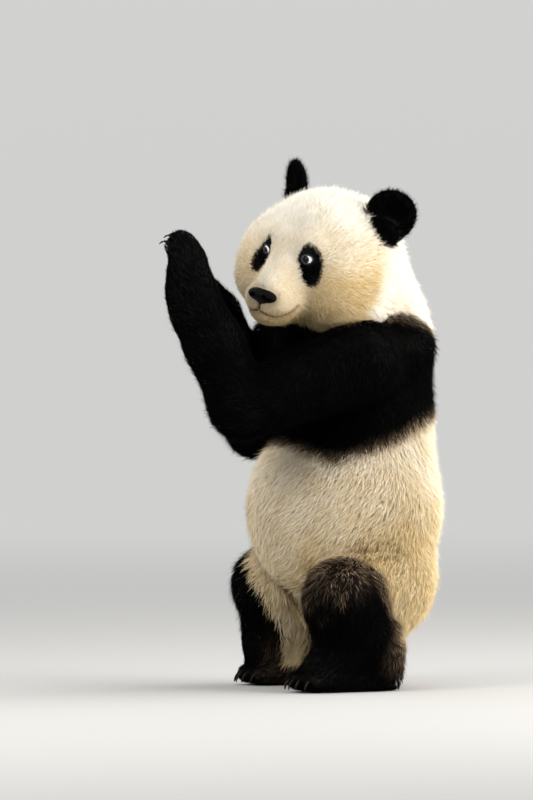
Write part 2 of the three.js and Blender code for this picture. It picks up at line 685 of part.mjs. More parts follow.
// ---- legs, standing on the flats of the hind feet
for (const [name, s] of [['left', 1], ['right', -1]]) {
  const l = LEG[name];
  const thighForm = bone(l.hip, l.knee, LEG.hipR, LEG.kneeR);
  const shankForm = blend(
    30, bone(l.knee, l.calf, LEG.kneeR - 3, LEG.calfR), bone(l.knee, l.shin, LEG.kneeR - 3, LEG.shinR),
  );
  const sole = blend(
    24,
    bone(l.heel, l.ball, LEG.heelR, LEG.ballR),
    bone(l.calf, l.heel, LEG.calfR - 14, LEG.heelR),
    bone(mix(l.heel, l.ball, 0.3), add(l.ball, [0, 10, 8]), 50, 44),
  );
  const toes = [];
  const claws = [];
  const ahead = unit(sub(l.ball, l.heel));
  const across = unit(cross(ahead, [0, 0, 1]));
  for (let i = 0; i < LEG.digits; i += 1) {
    const u = (i - 2) / 2;
    const base = add(add(l.ball, across, u * 32), ahead, 20 - 6 * u * u);
    const end = add(add(add(l.ball, across, u * 38), ahead, 52 - 14 * u * u), [0, 0, -5]);
    toes.push(bone(base, end, 21, 18));
    const nail = [[0, 3], [12, 3], [21, -5], [25, -16]].map(([r, h]) => (
      add(add(end, ahead, r), [0, 0, h])
    ));
    claws.push(sweep(nail, [5, 4.4, 3, 0], [5.4, 4.6, 3.2, 0], [0, 0, 1], 4));
  }
  const footForm = blend(12, sole, ...toes);
  const limb = blend(30, thighForm, shankForm, sole);
  const u1 = unit(sub(l.knee, l.hip));
  const u2 = unit(sub(mix(l.calf, l.shin, 0.5), l.knee));
  const fold = unit(add(u1, u2));
  const past = CELL.leg * room;
  const anklePlane = [0, 0, 70];
  const legSkin = skinOf(side(limb, anklePlane, [0, 0, -1], past), CELL.leg);
  const footSkin = skinOf(
    side(
      side(blend(20, footForm, shankForm), anklePlane, [0, 0, 1], CELL.hindpaw * room),
      [0, 0, 0], [0, 0, -1], CELL.hindpaw * room,
    ),
    CELL.hindpaw,
  );
  const leg = free(legSkin.body.intersect(halfSpace(anklePlane, [0, 0, 1], -HALF_SEAM)));
  const legRoom = grown(legSkin, SEAM).intersect(halfSpace(anklePlane, [0, 0, 1]));
  const pastKnee = halfSpace(l.knee, fold);
  keep(`thigh_${name}`, leg.subtract(halfSpace(l.knee, fold, HALF_SEAM)), BLACK, legRoom.subtract(pastKnee));
  keep(`shank_${name}`, leg.intersect(halfSpace(l.knee, fold, -HALF_SEAM)), BLACK, legRoom.intersect(pastKnee));
  let foot = footSkin.body.subtract(halfSpace(anklePlane, [0, 0, 1], HALF_SEAM));
  foot = claws.reduce((m, c) => m.add(c), foot).intersect(halfSpace([0, 0, 0], [0, 0, 1]));
  keep(`hindpaw_${name}`, free(foot), BLACK, grown(footSkin, SEAM).subtract(halfSpace(anklePlane, [0, 0, 1])));
  l.form = limb;
}

// ---------------------------------------------------------------- locks of hair
// A lock is a flat tapered blade. Its root lies deep in its node, and it follows the lie of the
// coat over whatever is below it and lifts off a little at its tip.
const forms = [headForm, bodyForm, tailForm, ARM.left.form, ARM.right.form, LEG.left.form, LEG.right.form];
const everything = {
  d: (x, y, z) => Math.min(...forms.map((f) => f.d(x, y, z))),
};

function lock(form, start, lie, size) {
  const points = [];
  const root = ontoSurface(form, start);
  const heights = [-SINK, -1.5, size.lift * 0.5, size.lift];
  let q = root;
  let n = unit(gradient(form, q));
  const level = unit(sub(lie, scale(n, dot(lie, n))));
  let way = level;
  heights.forEach((h, i) => {
    const straight = add(root, level, size.long * i / 3);
    points.push(add(mix(q, straight, size.loose * i / 3), n, h));
    q = ontoSurface(everything, add(q, way, size.long / 3));
    n = unit(gradient(everything, q));
    way = unit(sub(way, scale(n, dot(way, n))));
  });
  const out = unit(gradient(everything, points[1]));
  const wide = [0.8, 1, 0.86, 0].map((v) => v * size.wide);
  const high = [0.8, 1, 0.8, 0].map((v) => v * size.thick);
  return sweep(points, wide, high, out, 3, Math.PI / 2);
}

// Two or more rows of locks side by side, each row set off by half a step from the one above it.
function fringe(form, o) {
  const chance = seeded(o.seed);
  const made = [];
  for (let r = 0; r < o.rows; r += 1) {
    for (let i = 0; i < o.count; i += 1) {
      const t = (i + 0.5 + (r % 2 ? 0.25 : -0.25) + (chance() - 0.5) * 0.3) / o.count;
      const up = add(mix(o.from, o.to, t), o.lie, -r * o.long * 0.5);
      const lie = unit(add(o.lie, [chance() - 0.5, chance() - 0.5, chance() - 0.5], 0.3));
      const grow = 0.85 + chance() * 0.3;
      made.push(lock(form, up, lie, {
        long: o.long * grow, wide: o.wide * grow, thick: o.thick, lift: o.lift * (0.8 + chance() * 0.4), loose: o.loose,
      }));
    }
  }
  return made;
}

function dress(name, form, ...rows) {
  const node = nodes.find((m) => m.name === name);
  let hair = rows.flatMap((o) => fringe(form, o)).reduce((m, l) => m.add(l));
  for (const other of nodes) {
    if (other !== node && other.room) hair = hair.subtract(other.room);
  }
  node.shape = largest(node.shape.add(hair));
}

const RUFF = { long: 54, wide: 14, thick: 6, lift: 7, loose: 0.3, rows: 2 };
const FRINGE = { long: 54, wide: 14, thick: 6, lift: 8, loose: 0.4, rows: 1 };
const headWay = (v) => unit(turnOut(H, v));
const ruffs = [];
for (const s of [1, -1]) {
  ruffs.push(
    {
      ...RUFF, seed: 11 + s, count: 4, lie: headWay([s * 0.3, 0.35, -0.9]),
      from: inHead([s * 122, -62, -76]), to: inHead([s * 142, 26, -44]),
    },
    {
      ...RUFF, seed: 21 + s, count: 3, rows: 1, long: 42, lie: headWay([s * 0.25, 0.3, -0.9]),
      from: inHead([s * 44, -86, -126]), to: inHead([s * 96, -66, -108]),
    },
  );
}
dress('head', headForm, ...ruffs);

for (const [name, s] of [['left', 1], ['right', -1]]) {
  const a = ARM[name];
  const under = [0, 0, -ARM.elbowR];
  dress(`upper_arm_${name}`, a.form, {
    ...FRINGE, seed: 31 + s, count: 4, long: 46, lie: unit([s * 0.1, 0.1, -1]),
    from: add(mix(a.shoulder, a.elbow, 0.5), under), to: add(mix(a.shoulder, a.elbow, 0.88), under),
  });
  const l = LEG[name];
  dress(`shank_${name}`, l.form, {
    ...FRINGE, seed: 51 + s, count: 3, long: 44, lie: [0, 0.25, -1],
    from: add(l.calf, [-34, 54, 44]), to: add(l.calf, [34, 54, 44]),
  });
}
dress('torso', bodyForm, {
  ...FRINGE, seed: 61, count: 5, rows: 2, lie: unit([0, 0.1, -1]), from: [-64, -124, 202], to: [64, -124, 202],
});
dress('tail', tailForm, {
  ...FRINGE, seed: 71, count: 3, long: 40, wide: 11, lie: unit([0, 0.1, -1]), from: [-18, 186, 172], to: [18, 186, 172],
});

// ---------------------------------------------------------------- the group
const group = new THREE.Group();
group.name = 'giant_panda';
const box = new THREE.Box3();
for (const n of nodes) {
  n.mesh = tidy(n.shape);
  n.mesh.verts.forEach((p) => box.expandByPoint(new THREE.Vector3(...p)));
}
const middle = box.getCenter(new THREE.Vector3());
const origin = [middle.x, middle.y, box.min.z];
for (const n of nodes) {
  const flat = n.mesh.verts.flatMap((p) => sub(p, origin)).map((v) => Math.round(v * 1000) / 1000);
  const geometry = new THREE.BufferGeometry();
  geometry.setAttribute('position', new THREE.BufferAttribute(new Float32Array(flat), 3));
  geometry.setIndex(n.mesh.tris.flat());
  geometry.computeVertexNormals();
  const made = new THREE.Mesh(geometry, new THREE.MeshStandardMaterial(n.look));
  made.name = n.name;
  made.material.name = n.name;
  group.add(made);
}
group.userData.shift = origin;

export default group;
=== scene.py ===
# %% [markdown]
# # A young giant panda, life size
# The solids of this part arrive as a fixed frame: a panda on its hind feet, forepaws raised, the
# head turned to its own left. A museum model of it is a smooth body with a pelt over it, and it is
# built the same way here. One closed skin is grown inside the solids, eyes, nose and claws are set
# into it, and a coat of many small solid tufts is planted on it. Everything is worked out in the
# solids' own millimetres and moved into the scene's metres at the very end.

import bmesh
import bpy
import numpy as np
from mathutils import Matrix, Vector


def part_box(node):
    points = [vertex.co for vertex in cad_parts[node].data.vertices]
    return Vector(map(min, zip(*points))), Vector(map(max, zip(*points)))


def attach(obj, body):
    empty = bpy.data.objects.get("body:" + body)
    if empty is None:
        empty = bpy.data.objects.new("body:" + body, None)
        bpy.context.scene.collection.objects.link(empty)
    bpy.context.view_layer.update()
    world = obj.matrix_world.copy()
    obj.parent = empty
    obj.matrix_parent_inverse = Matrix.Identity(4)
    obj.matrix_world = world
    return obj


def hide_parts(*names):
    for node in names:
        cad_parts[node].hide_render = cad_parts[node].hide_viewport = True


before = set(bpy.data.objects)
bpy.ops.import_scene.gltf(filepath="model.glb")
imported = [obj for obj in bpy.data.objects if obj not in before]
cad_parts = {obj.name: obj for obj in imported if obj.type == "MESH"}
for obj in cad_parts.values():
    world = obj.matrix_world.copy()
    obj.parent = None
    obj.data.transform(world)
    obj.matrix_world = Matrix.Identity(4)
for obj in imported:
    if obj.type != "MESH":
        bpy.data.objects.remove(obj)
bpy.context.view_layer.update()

# %% [markdown]
# ## Camera first
# The camera stands far away with a long lens, a little above the middle of the animal and to its
# left front, so near and far limbs keep nearly the same scale. Two unit vectors describe that view:
# one points to the right of the image, the other back from the animal to the camera. The animal's
# own place comes from its left eye, because the solids were moved so that their box stands over the
# origin.

# %% Sizes that the solids were made from
HEAD_AT, HEAD_TURN = np.array([20.0, -56, 860]), (27, 8.5, 15.5)
EYE_AT, EYE_BALL = {"left": (49, -119, 24), "right": (-46, -119, 19)}, 11.5
EYE_LOOK = np.array([0.3, -0.95, 0.05])
EAR_AT, EAR_SIZE, EAR_TURN, EAR_LEAN = np.array([117.0, 46, 110]), (53, 17, 54), 38, 8
EAR_ROOT = {"left": ((12, 14, -36), (40, 26, 32)), "right": ((-6, 6, -22), (38, 18, 24))}
NOSE_AT, NOSE_SIZE = np.array([0.0, -189, -53]), (33, 17, 14)
HEM_AT = np.array([0.0, -80, 453])
HEM_FRONT_UP, HEM_BACK_UP = np.array([0, 0.84, 1]), np.array([0, -0.487, 1])

ARM = {
    "left": {
        "shoulder": (142, -30, 650), "elbow": (142, -292, 562), "wrist": (115, -390, 782),
        "tip": (105, -400, 926), "palm": (-0.8, -0.6, 0),
    },
    "right": {
        "shoulder": (-138, -52, 682), "elbow": (-176, -104, 520), "wrist": (-138, -212, 736),
        "tip": (-118, -286, 850), "palm": (0.1, -1, 0),
    },
}
LEG = {
    "left": {
        "hip": (106, -14, 214), "knee": (150, -78, 182), "calf": (142, -4, 84),
        "shin": (148, -78, 84), "heel": (138, 14, 28), "ball": (150, -122, 28),
    },
    "right": {
        "hip": (-106, -14, 224), "knee": (-148, -88, 204), "calf": (-140, 2, 84),
        "shin": (-142, -94, 84), "heel": (-138, 22, 28), "ball": (-142, -90, 28),
    },
}
SHOULDER_R, ELBOW_R, FORE_R, WRIST_R = 84, 65, 58, 46
HIP_R, KNEE_R, CALF_R, SHIN_R, HEEL_R, BALL_R = 84, 75, 66, 57, 39, 43
SIDES = (("left", 1), ("right", -1))


def unit(v):
    v = np.asarray(v, float)
    return v / np.linalg.norm(v, axis=-1, keepdims=True)


def turned(yaw, pitch, roll):
    """The axes of a part as the columns of a matrix: x to its left, y to its back, z up."""
    a, b, c = np.radians((yaw, pitch, roll))
    rz = np.array([[np.cos(a), -np.sin(a), 0], [np.sin(a), np.cos(a), 0], [0, 0, 1]])
    rx = np.array([[1, 0, 0], [0, np.cos(b), -np.sin(b)], [0, np.sin(b), np.cos(b)]])
    ry = np.array([[np.cos(c), 0, np.sin(c)], [0, 1, 0], [-np.sin(c), 0, np.cos(c)]])
    return rz @ rx @ ry


HEAD_AXES = turned(*HEAD_TURN)


def in_head(p):
    return HEAD_AT + np.asarray(p, float) @ HEAD_AXES.T


def to_head(p):
    return (p - HEAD_AT) @ HEAD_AXES


def mirrored(p, side):
    return np.asarray(p, float) * (side, 1, 1)


eye_low, eye_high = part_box("eye_left")
SHIFT = in_head(EYE_AT["left"]) - 1000 * np.array((eye_low + eye_high) / 2)


def to_scene(p):
    return (np.asarray(p, float) - SHIFT) / 1000


print("the solids were moved by", SHIFT.round(2), "mm")

# %% The camera
VIEW_TURN, VIEW_RISE = np.radians(64), np.radians(0.36)
VIEW_FAR, VIEW_LENS = 12000, 270
AIM_RIGHT, AIM_UP = -153, 574

view_right = np.array([np.cos(VIEW_TURN), np.sin(VIEW_TURN), 0])
view_back = np.array([
    np.sin(VIEW_TURN) * np.cos(VIEW_RISE),
    -np.cos(VIEW_TURN) * np.cos(VIEW_RISE),
    np.sin(VIEW_RISE),
])
view_up = np.cross(view_back, view_right)
aim = view_right * AIM_RIGHT + view_up * AIM_UP

camera = bpy.data.objects.new("camera", bpy.data.cameras.new("camera"))
camera.data.lens = VIEW_LENS
camera.data.clip_end = 200
camera.location = to_scene(aim + view_back * VIEW_FAR)
camera.rotation_mode = "QUATERNION"
camera.rotation_quaternion = Vector(-view_back).to_track_quat("-Z", "Y")
bpy.context.scene.collection.objects.link(camera)
bpy.context.scene.camera = camera
print("camera at", [round(v, 2) for v in camera.location])

# %% [markdown]
# ## Rounded forms
# A body has few flat faces and no sharp corners, so it is described by distance functions: for
# each point they say how far it is from the surface, with a minus inside. Eggs and tapered bones
# are the only two shapes needed. A soft union melts them together as muscle and fat do, and a soft
# carve presses one into another. The alternative, a box modelled mesh under a Subdivision modifier,
# would need its edge loops to be joined by hand wherever an arm meets the trunk.


# %% Eggs, bones and how they melt together
def length(v):
    return np.sqrt(np.einsum("ij,ij->i", v, v))


def egg(at, size, axes=None):
    at, size = np.asarray(at, float), np.asarray(size, float)

    def distance(p):
        q = p - at
        if axes is not None:
            q = q @ axes
        near = length(q / size)
        slope = np.maximum(length(q / size**2), 1e-9)
        return near * (near - 1) / slope

    return distance


def bone(a, b, ra, rb):
    a, b = np.asarray(a, float), np.asarray(b, float)
    ba = b - a
    l2, rr = ba @ ba, ra - rb
    a2 = l2 - rr * rr

    def distance(p):
        pa = p - a
        y = pa @ ba
        z = y - l2
        q = pa * l2 - y[:, None] * ba
        x2 = np.einsum("ij,ij->i", q, q)
        y2, z2 = y * y * l2, z * z * l2
        k = np.sign(rr) * rr * rr * x2
        beyond = np.sign(z) * a2 * z2 > k
        before = np.sign(y) * a2 * y2 < k
        middle = (np.sqrt(x2 * a2 / l2) + y * rr) / l2 - ra
        middle[before] = np.sqrt((x2 + y2)[before]) / l2 - ra
        middle[beyond] = np.sqrt((x2 + z2)[beyond]) / l2 - rb
        return middle

    return distance


def melt(a, b, k):
    h = np.maximum(k - np.abs(a - b), 0) / k
    return np.minimum(a, b) - h * h * k * 0.25


def blend(k, *forms):
    def distance(p):
        d = forms[0](p)
        for form in forms[1:]:
            d = melt(d, form(p), k)
        return d

    return distance


def carve(form, tool, k):
    return lambda p: -melt(-form(p), tool(p), k)


def ramp(low, high, v):
    """0 below low, 1 above high, smooth in between."""
    t = np.clip((v - low) / (high - low), 0, 1)
    return t * t * (3 - 2 * t)


# %% [markdown]
# ## The parts of the body
# The trunk leans back on two haunches, the neck is as thick as the head, and the skull is wide
# across its chewing muscles, with a short muzzle. Each part is also told how deep its coat is, from
# 2 mm on the muzzle to 21 mm on the trunk: the solids end at the tips of the hair, so the skin lies
# that much deeper.

# %% Trunk, neck and tail
belly = egg([0, 4, 358], [192, 200, 213])
rump = egg([0, 40, 200], [150, 140, 130])
chest = egg([0, 45, 552], [160, 142, 170])
withers = egg([0, 58, 690], [132, 114, 110])
haunches = [egg([s * 98, 44, 216], [86, 106, 104]) for _, s in SIDES]
blades = [egg([s * 94, 62, 680], [76, 94, 58]) for _, s in SIDES]
neck = bone([2, 54, 735], [10, 20, 850], 120, 100)
trunk = blend(60, blend(40, belly, rump, *haunches), chest, blend(40, withers, *blades))
body_form = blend(40, trunk, neck)
tail_form = blend(
    14,
    egg([0, 184, 262], [34, 27, 44]),
    egg([0, 182, 216], [38, 26, 46]),
    egg([0, 166, 168], [30, 22, 34]),
)


# %% Head and ears
def head_egg(at, size):
    return egg(in_head(at), size, HEAD_AXES)


def head_bone(a, b, ra, rb):
    return bone(in_head(a), in_head(b), ra, rb)


skull = blend(
    34,
    head_egg([0, 10, 14], [134, 138, 121]),
    *[head_egg([s * 84, -19, -43], [82, 100, 86]) for _, s in SIDES],
    *[head_egg([s * 83, -36, 8], [59, 76, 60]) for _, s in SIDES],
    head_egg([0, -22, -78], [98, 98, 66]),
)
muzzle = blend(
    16,
    head_bone([0, -92, -40], [0, -154, -62], 64, 42),
    head_bone([0, -104, 20], [0, -166, -30], 38, 25),
    head_egg([0, -153, -90], [42, 43, 29]),
    *[head_egg([s * 30, -150, -68], [30, 36, 28]) for _, s in SIDES],
)
brows = blend(14, *[head_egg([s * 40, -102, 44], [36, 26, 26]) for _, s in SIDES])
head_form = blend(26, skull, muzzle, brows)
for _, s in SIDES:
    head_form = carve(head_form, head_egg([s * 60, -136, 8], [19, 15, 24]), 12)


def ear_of(name, s):
    """The ear's form, its middle and its own axes."""
    turn, lean = np.radians((EAR_TURN, EAR_LEAN))
    face = np.array([s * np.sin(turn), -np.cos(turn), 0])
    tall = np.array([s * np.sin(lean), 0, np.cos(lean)])
    across = unit(np.cross(face, tall))
    axes = HEAD_AXES @ np.stack([across, np.cross(tall, across), tall], 1)
    at = in_head(mirrored(EAR_AT, s))
    wide, thick, high = EAR_SIZE
    shell = blend(8, egg(at, EAR_SIZE, axes), egg(at + axes @ (0, -4, -34), [35, 17, 34], axes))
    cup = egg(at + HEAD_AXES @ face * (thick + 3), [wide * 0.7, thick, high * 0.7], axes)
    root_at, root_size = EAR_ROOT[name]
    root = egg(at + axes @ root_at, root_size, axes)
    return blend(8, carve(shell, cup, 6), root), at, axes


EARS = {name: ear_of(name, s) for name, s in SIDES}


# %% Arms and legs
FRONT_CLAW = (-4, 2), (4, 6), (9, 11), (11, 17), (10, 23), (7, 28)  # forward and out of the palm
HIND_CLAW = (0, 3), (9, 3), (16, 0), (21, -5), (24, -11), (25, -16)  # forward and up


def arm_of(a):
    shoulder, elbow, wrist, tip = (np.array(a[k], float) for k in ("shoulder", "elbow", "wrist", "tip"))
    reach = unit(tip - wrist)
    palm_out = np.array(a["palm"], float)
    palm_out = unit(palm_out - reach * (palm_out @ reach))
    axes = np.stack([np.cross(reach, palm_out), reach, palm_out], 1)
    middle = elbow + (wrist - elbow) * 0.55

    def at(x, y, z):
        return wrist + axes @ (x, y, z)

    hand = blend(
        22,
        egg(at(0, 46, 0), [52, 62, 34], axes),
        bone(middle, wrist, FORE_R, WRIST_R),
        bone(at(0, -40, 0), at(0, 14, 0), WRIST_R - 4, WRIST_R - 4),
    )
    spread = [(i - 2) / 2 for i in range(5)]
    ends = [at(40 * u, 112 - 16 * u * u, 10) for u in spread]
    toes = [bone(at(33 * u, 78 - 8 * u * u, 0), e, 20, 17.5) for u, e in zip(spread, ends)]
    pad = egg(at(0, 50, 22), [37, 22, 17], axes)
    form = blend(
        26, bone(shoulder, elbow, SHOULDER_R, ELBOW_R), bone(elbow, middle, ELBOW_R, FORE_R), hand,
    )
    claws = [[e + axes @ (0.14 * r * u, r, h) for r, h in FRONT_CLAW] for u, e in zip(spread, ends)]
    return {
        "form": blend(8, form, blend(12, hand, pad, *toes)), "path": [shoulder, elbow, wrist, tip],
        "axes": axes, "claws": claws, "claw_out": palm_out, "wrist": wrist,
    }


def leg_of(leg):
    hip, knee, calf, shin, heel, ball = (
        np.array(leg[k], float) for k in ("hip", "knee", "calf", "shin", "heel", "ball")
    )
    ahead = unit(ball - heel)
    across = unit(np.cross(ahead, (0, 0, 1)))
    thigh = bone(hip, knee, HIP_R, KNEE_R)
    shank = blend(30, bone(knee, calf, KNEE_R - 3, CALF_R), bone(knee, shin, KNEE_R - 3, SHIN_R))
    sole = blend(
        24,
        bone(heel, ball, HEEL_R, BALL_R),
        bone(calf, heel, CALF_R - 14, HEEL_R),
        bone(heel + (ball - heel) * 0.3, ball + (0, 10, 8), 50, 44),
    )
    spread = [(i - 2) / 2 for i in range(5)]
    ends = [ball + across * 38 * u + ahead * (52 - 14 * u * u) + (0, 0, -5) for u in spread]
    toes = [
        bone(ball + across * 32 * u + ahead * (20 - 6 * u * u), e, 21, 18) for u, e in zip(spread, ends)
    ]
    claws = [[e + ahead * r + (0, 0, h) for r, h in HIND_CLAW] for e in ends]
    return {
        "form": blend(10, blend(30, thigh, shank, sole), blend(12, sole, *toes)),
        "path": [hip, knee, (calf + shin) / 2, ball + (0, 0, 6), ball + ahead * 60],
        "claws": claws, "claw_out": np.array([0, 0, 1.0]), "ahead": ahead,
    }


ARMS = {name: arm_of(a) for name, a in ARM.items()}
LEGS = {name: leg_of(leg) for name, leg in LEG.items()}
print("forms: trunk, tail, head, 2 ears, 2 arms, 2 legs")


# %% How far along a limb a point lies
def along(path, p):
    """Distance along a bent line to the place nearest each point, and the line's way there."""
    best = np.full(len(p), 1e9)
    run = np.zeros(len(p))
    way = np.zeros((len(p), 3))
    start = 0.0
    for a, b in zip(path[:-1], path[1:]):
        ab = b - a
        long = np.linalg.norm(ab)
        t = np.clip((p - a) @ ab / long**2, 0, 1)
        away = length(p - a - t[:, None] * ab)
        soft = np.exp(-np.maximum(away - best, -60) / 25) if start else np.ones(len(p))
        way += soft[:, None] * ab / long
        closer = away < best
        run[closer] = start + t[closer] * long
        best = np.minimum(best, away)
        start += long
    return run, unit(way + 1e-9), start


# %% Depth of the coat on each part
def head_depth(p):
    q = to_head(p)
    cheek = ramp(-112, -30, q[:, 1])
    low = ramp(-60, -110, q[:, 2]) * ramp(-130, -90, q[:, 1])
    return 2.0 + 10.5 * cheek + 4.0 * low


def limb_depth(path, deep, shallow):
    def depth(p):
        run, _, total = along(path, p)
        return deep + (shallow - deep) * ramp(0.35, 0.86, run / total)

    return depth


def box_round(form_points, more):
    pts = np.array(form_points, float)
    return pts.min(0) - more, pts.max(0) + more


def same_depth(deep):
    return lambda p: np.full(len(p), float(deep))


TRUNK_BOX = np.array([-260, -260, 0]), np.array([260, 280, 1010])
PARTS = [  # name, form, depth of the coat, box that it fills, softness where it joins the rest
    ("trunk", body_form, same_depth(21), TRUNK_BOX, 1),
    ("tail", tail_form, same_depth(12), box_round([[0, 180, 210]], 150), 16),
]
for group, limbs, deep, soft in (("leg", LEGS, 20, 34), ("arm", ARMS, 19, 30)):
    for name, limb in limbs.items():
        depth, box = limb_depth(limb["path"], deep, 6), box_round(limb["path"], 145)
        PARTS.append((f"{group}_{name}", limb["form"], depth, box, soft))
PARTS.append(("head", head_form, head_depth, box_round([HEAD_AT], 260), 50))
for name, (form, at, axes) in EARS.items():
    PARTS.append((f"ear_{name}", form, same_depth(5), box_round([at], 110), 10))
PART_NAMES = [row[0] for row in PARTS]
FAR = 400.0


def each_part(p, inset):
    """The distance from each part, one row a part. With inset it is the skin's own distance."""
    rows = np.full((len(PARTS), len(p)), FAR)
    for i, (_, form, depth, (low, high), _) in enumerate(PARTS):
        near = np.all((p > low) & (p < high), axis=1)
        if near.any():
            q = p[near]
            rows[i, near] = form(q) + (depth(q) if inset else 0)
    return rows


def joined(rows):
    d = rows[0]
    for row, (_, _, _, _, k) in zip(rows[1:], PARTS[1:]):
        d = melt(d, row, k)
    return d


def coat_top(p):
    return joined(each_part(p, False))


# %% [markdown]
# ## The folds of the face
# Lids, mouth and the groove below the nose are carved into the same distance, so that they are
# part of the skin and not stuck on it. The lids are a bulge over each eyeball, with an almond
# opening sunk into it down to the ball. The mouth is a groove along a few points of the upper lip.
# A lid could also be a thin shell of its own, but a coarse grid would tear holes into it.

# %% Lids, mouth and small folds
LID_BALL = 13.4
SLIT_SIZE = {"left": (10.8, 9, 7.5), "right": (10.0, 9, 6.1)}
SLIT_AHEAD, SLIT_RISE = 8.2, {"left": 1.3, "right": 1.9}
MOUTH_REACH = 110
MOUTH_CUT, MOUTH_BARE = (1.8, 1.8, 1.2), (2.8, 2.8, 3.0)  # half widths: left lip, right lip, philtrum
MOUTH = [
    (0, -198, -82), (8, -192, -85), (18, -187, -88), (32, -180, -89), (46, -172, -84), (55, -160, -74),
    (60, -148, -65),
]
PHILTRUM = [(0, -205, -62), (0, -202, -82)]


def gradient(field, p, step=0.5):
    corners = np.array([(1, -1, -1), (-1, -1, 1), (-1, 1, -1), (1, 1, 1)], float)
    return sum(c * field(p + c * step)[:, None] for c in corners) / (4 * step)


def settle(field, p, times=3, level=0.0, most=8.0):
    """Points moved along the slope of a field until they lie at one level of it."""
    for _ in range(times):
        g = gradient(field, p)
        move = (level - field(p)) / np.maximum((g * g).sum(1), 0.2)
        p = p + g * np.clip(move, -most, most)[:, None]
    return p


def smooth_line(points, parts=6):
    """A rounder line through the points of a coarse one."""
    pts = np.array(points, float)
    t = np.linspace(0, len(pts) - 1, (len(pts) - 1) * parts + 1)
    i = np.clip(t.astype(int), 0, len(pts) - 2)
    f = (t - i)[:, None]
    padded = np.vstack([2 * pts[0] - pts[1], pts, 2 * pts[-1] - pts[-2]])
    a, b, c, d = (padded[i + n] for n in range(4))
    return 0.5 * (2 * b + (c - a) * f + (2 * a - 5 * b + 4 * c - d) * f**2 + (3 * b - a - 3 * c + d) * f**3)


def line_distance(line, p):
    best = np.full(len(p), 1e9)
    for a, b in zip(line[:-1], line[1:]):
        ab = b - a
        t = np.clip((p - a) @ ab / (ab @ ab), 0, 1)
        best = np.minimum(best, length(p - a - t[:, None] * ab))
    return best


def skin_plain(p):
    return joined(each_part(p, True))


EYES = {}
for name, s in SIDES:
    look = unit(HEAD_AXES @ mirrored(EYE_LOOK, s))
    level = unit(HEAD_AXES @ mirrored((0.94, 0.1, 0.2), s))
    up = s * unit(np.cross(look, level))
    at, axes = in_head(EYE_AT[name]), np.stack([np.cross(look, up), look, up], 1)
    slit = egg(at + look * SLIT_AHEAD + up * SLIT_RISE[name], SLIT_SIZE[name], axes)
    EYES[name] = {"at": at, "look": look, "axes": axes, "slit": slit}
mouth_half = smooth_line(MOUTH)
MOUTH_LINES = [settle(skin_plain, in_head(mirrored(mouth_half, s))) for _, s in SIDES]
MOUTH_LINES.append(settle(skin_plain, in_head(np.array(PHILTRUM, float))))


def near_mouth(p):
    return length(p - MOUTH_LINES[2][1]) < MOUTH_REACH


def detailed(p, d):
    """The skin's distance with lids, mouth and folds cut in where the points are near them."""
    for eye in EYES.values():
        near = length(p - eye["at"]) < 40
        if near.any():
            q, e = p[near], d[near]
            e = melt(e, length(q - eye["at"]) - LID_BALL, 6)
            d[near] = -melt(-e, eye["slit"](q), 1.2)
    near = near_mouth(p)
    if near.any():
        q, e = p[near], d[near]
        for line, wide in zip(MOUTH_LINES, MOUTH_CUT):
            e = -melt(-e, line_distance(line, q) - wide, 3.0)
        d[near] = e
    return d


FLOOR_GAP = 1.2


def skin_field(p):
    return np.maximum(detailed(p, skin_plain(p)), FLOOR_GAP - p[:, 2])


# %% [markdown]
# ## One skin
# The distance is sampled on a grid of small cubes. Every cube that the surface passes through gets
# one vertex and every grid edge that it crosses gets one quad, which always closes. Around the eyes
# and the mouth the quads are then split three times and settled on the surface again, because the
# rim of a lid is finer than a cube. A Remesh modifier could close the body too, but it would give
# the lids no more cubes than the back.

# %% From distance to quads
CELL = 4.6
EDGE_CORNERS = [(a, a | b) for b in (1, 2, 4) for a in range(8) if not a & b]


def sample_grid(low, high, cell):
    axes = [np.arange(lo, hi, cell) for lo, hi in zip(low, high)]
    shape = tuple(len(a) for a in axes)
    values = np.full(shape, FAR)
    slab = 12
    for start in range(0, shape[2], slab):
        x, y, z = np.meshgrid(axes[0], axes[1], axes[2][start:start + slab], indexing="ij")
        p = np.stack([x.ravel(), y.ravel(), z.ravel()], 1)
        values[:, :, start:start + slab] = skin_field(p).reshape(x.shape)
    return values


def quads_of(values, low, cell):
    inside = values < 0
    n = np.array(values.shape) - 1
    corner = [tuple(slice(o, o + m) for o, m in zip((c & 1, c >> 1 & 1, c >> 2), n)) for c in range(8)]
    count = sum(inside[c].astype(np.int8) for c in corner)
    used = (count > 0) & (count < 8)
    at = np.argwhere(used)
    c = np.stack([values[k][used] for k in corner], 1)
    total, crossings = np.zeros((len(at), 3)), np.zeros((len(at), 1))
    for a, b in EDGE_CORNERS:
        hit = (c[:, a] < 0) != (c[:, b] < 0)
        t = c[:, a] / np.where(hit, c[:, a] - c[:, b], 1)
        pa, pb = (np.array([m & 1, m >> 1 & 1, m >> 2], float) for m in (a, b))
        total += hit[:, None] * (pa + t[:, None] * (pb - pa))
        crossings += hit[:, None]
    verts = low + (at + total / crossings) * cell
    number = np.full(used.shape, -1)
    number[used] = np.arange(len(at))
    quads = []
    for axis in range(3):
        u, v = [(1, 2), (2, 0), (0, 1)][axis]
        here = np.moveaxis(inside, (axis, u, v), (0, 1, 2))
        ids = np.moveaxis(number, (axis, u, v), (0, 1, 2))
        change = here[:-1, 1:-1, 1:-1] != here[1:, 1:-1, 1:-1]
        i, j, k = np.nonzero(change)
        ring = np.stack([ids[i, j, k], ids[i, j + 1, k], ids[i, j + 1, k + 1], ids[i, j, k + 1]], 1)
        leaving = here[:-1, 1:-1, 1:-1][change]
        quads.append(np.where(leaving[:, None], ring, ring[:, ::-1]))
    return verts, np.vstack(quads)


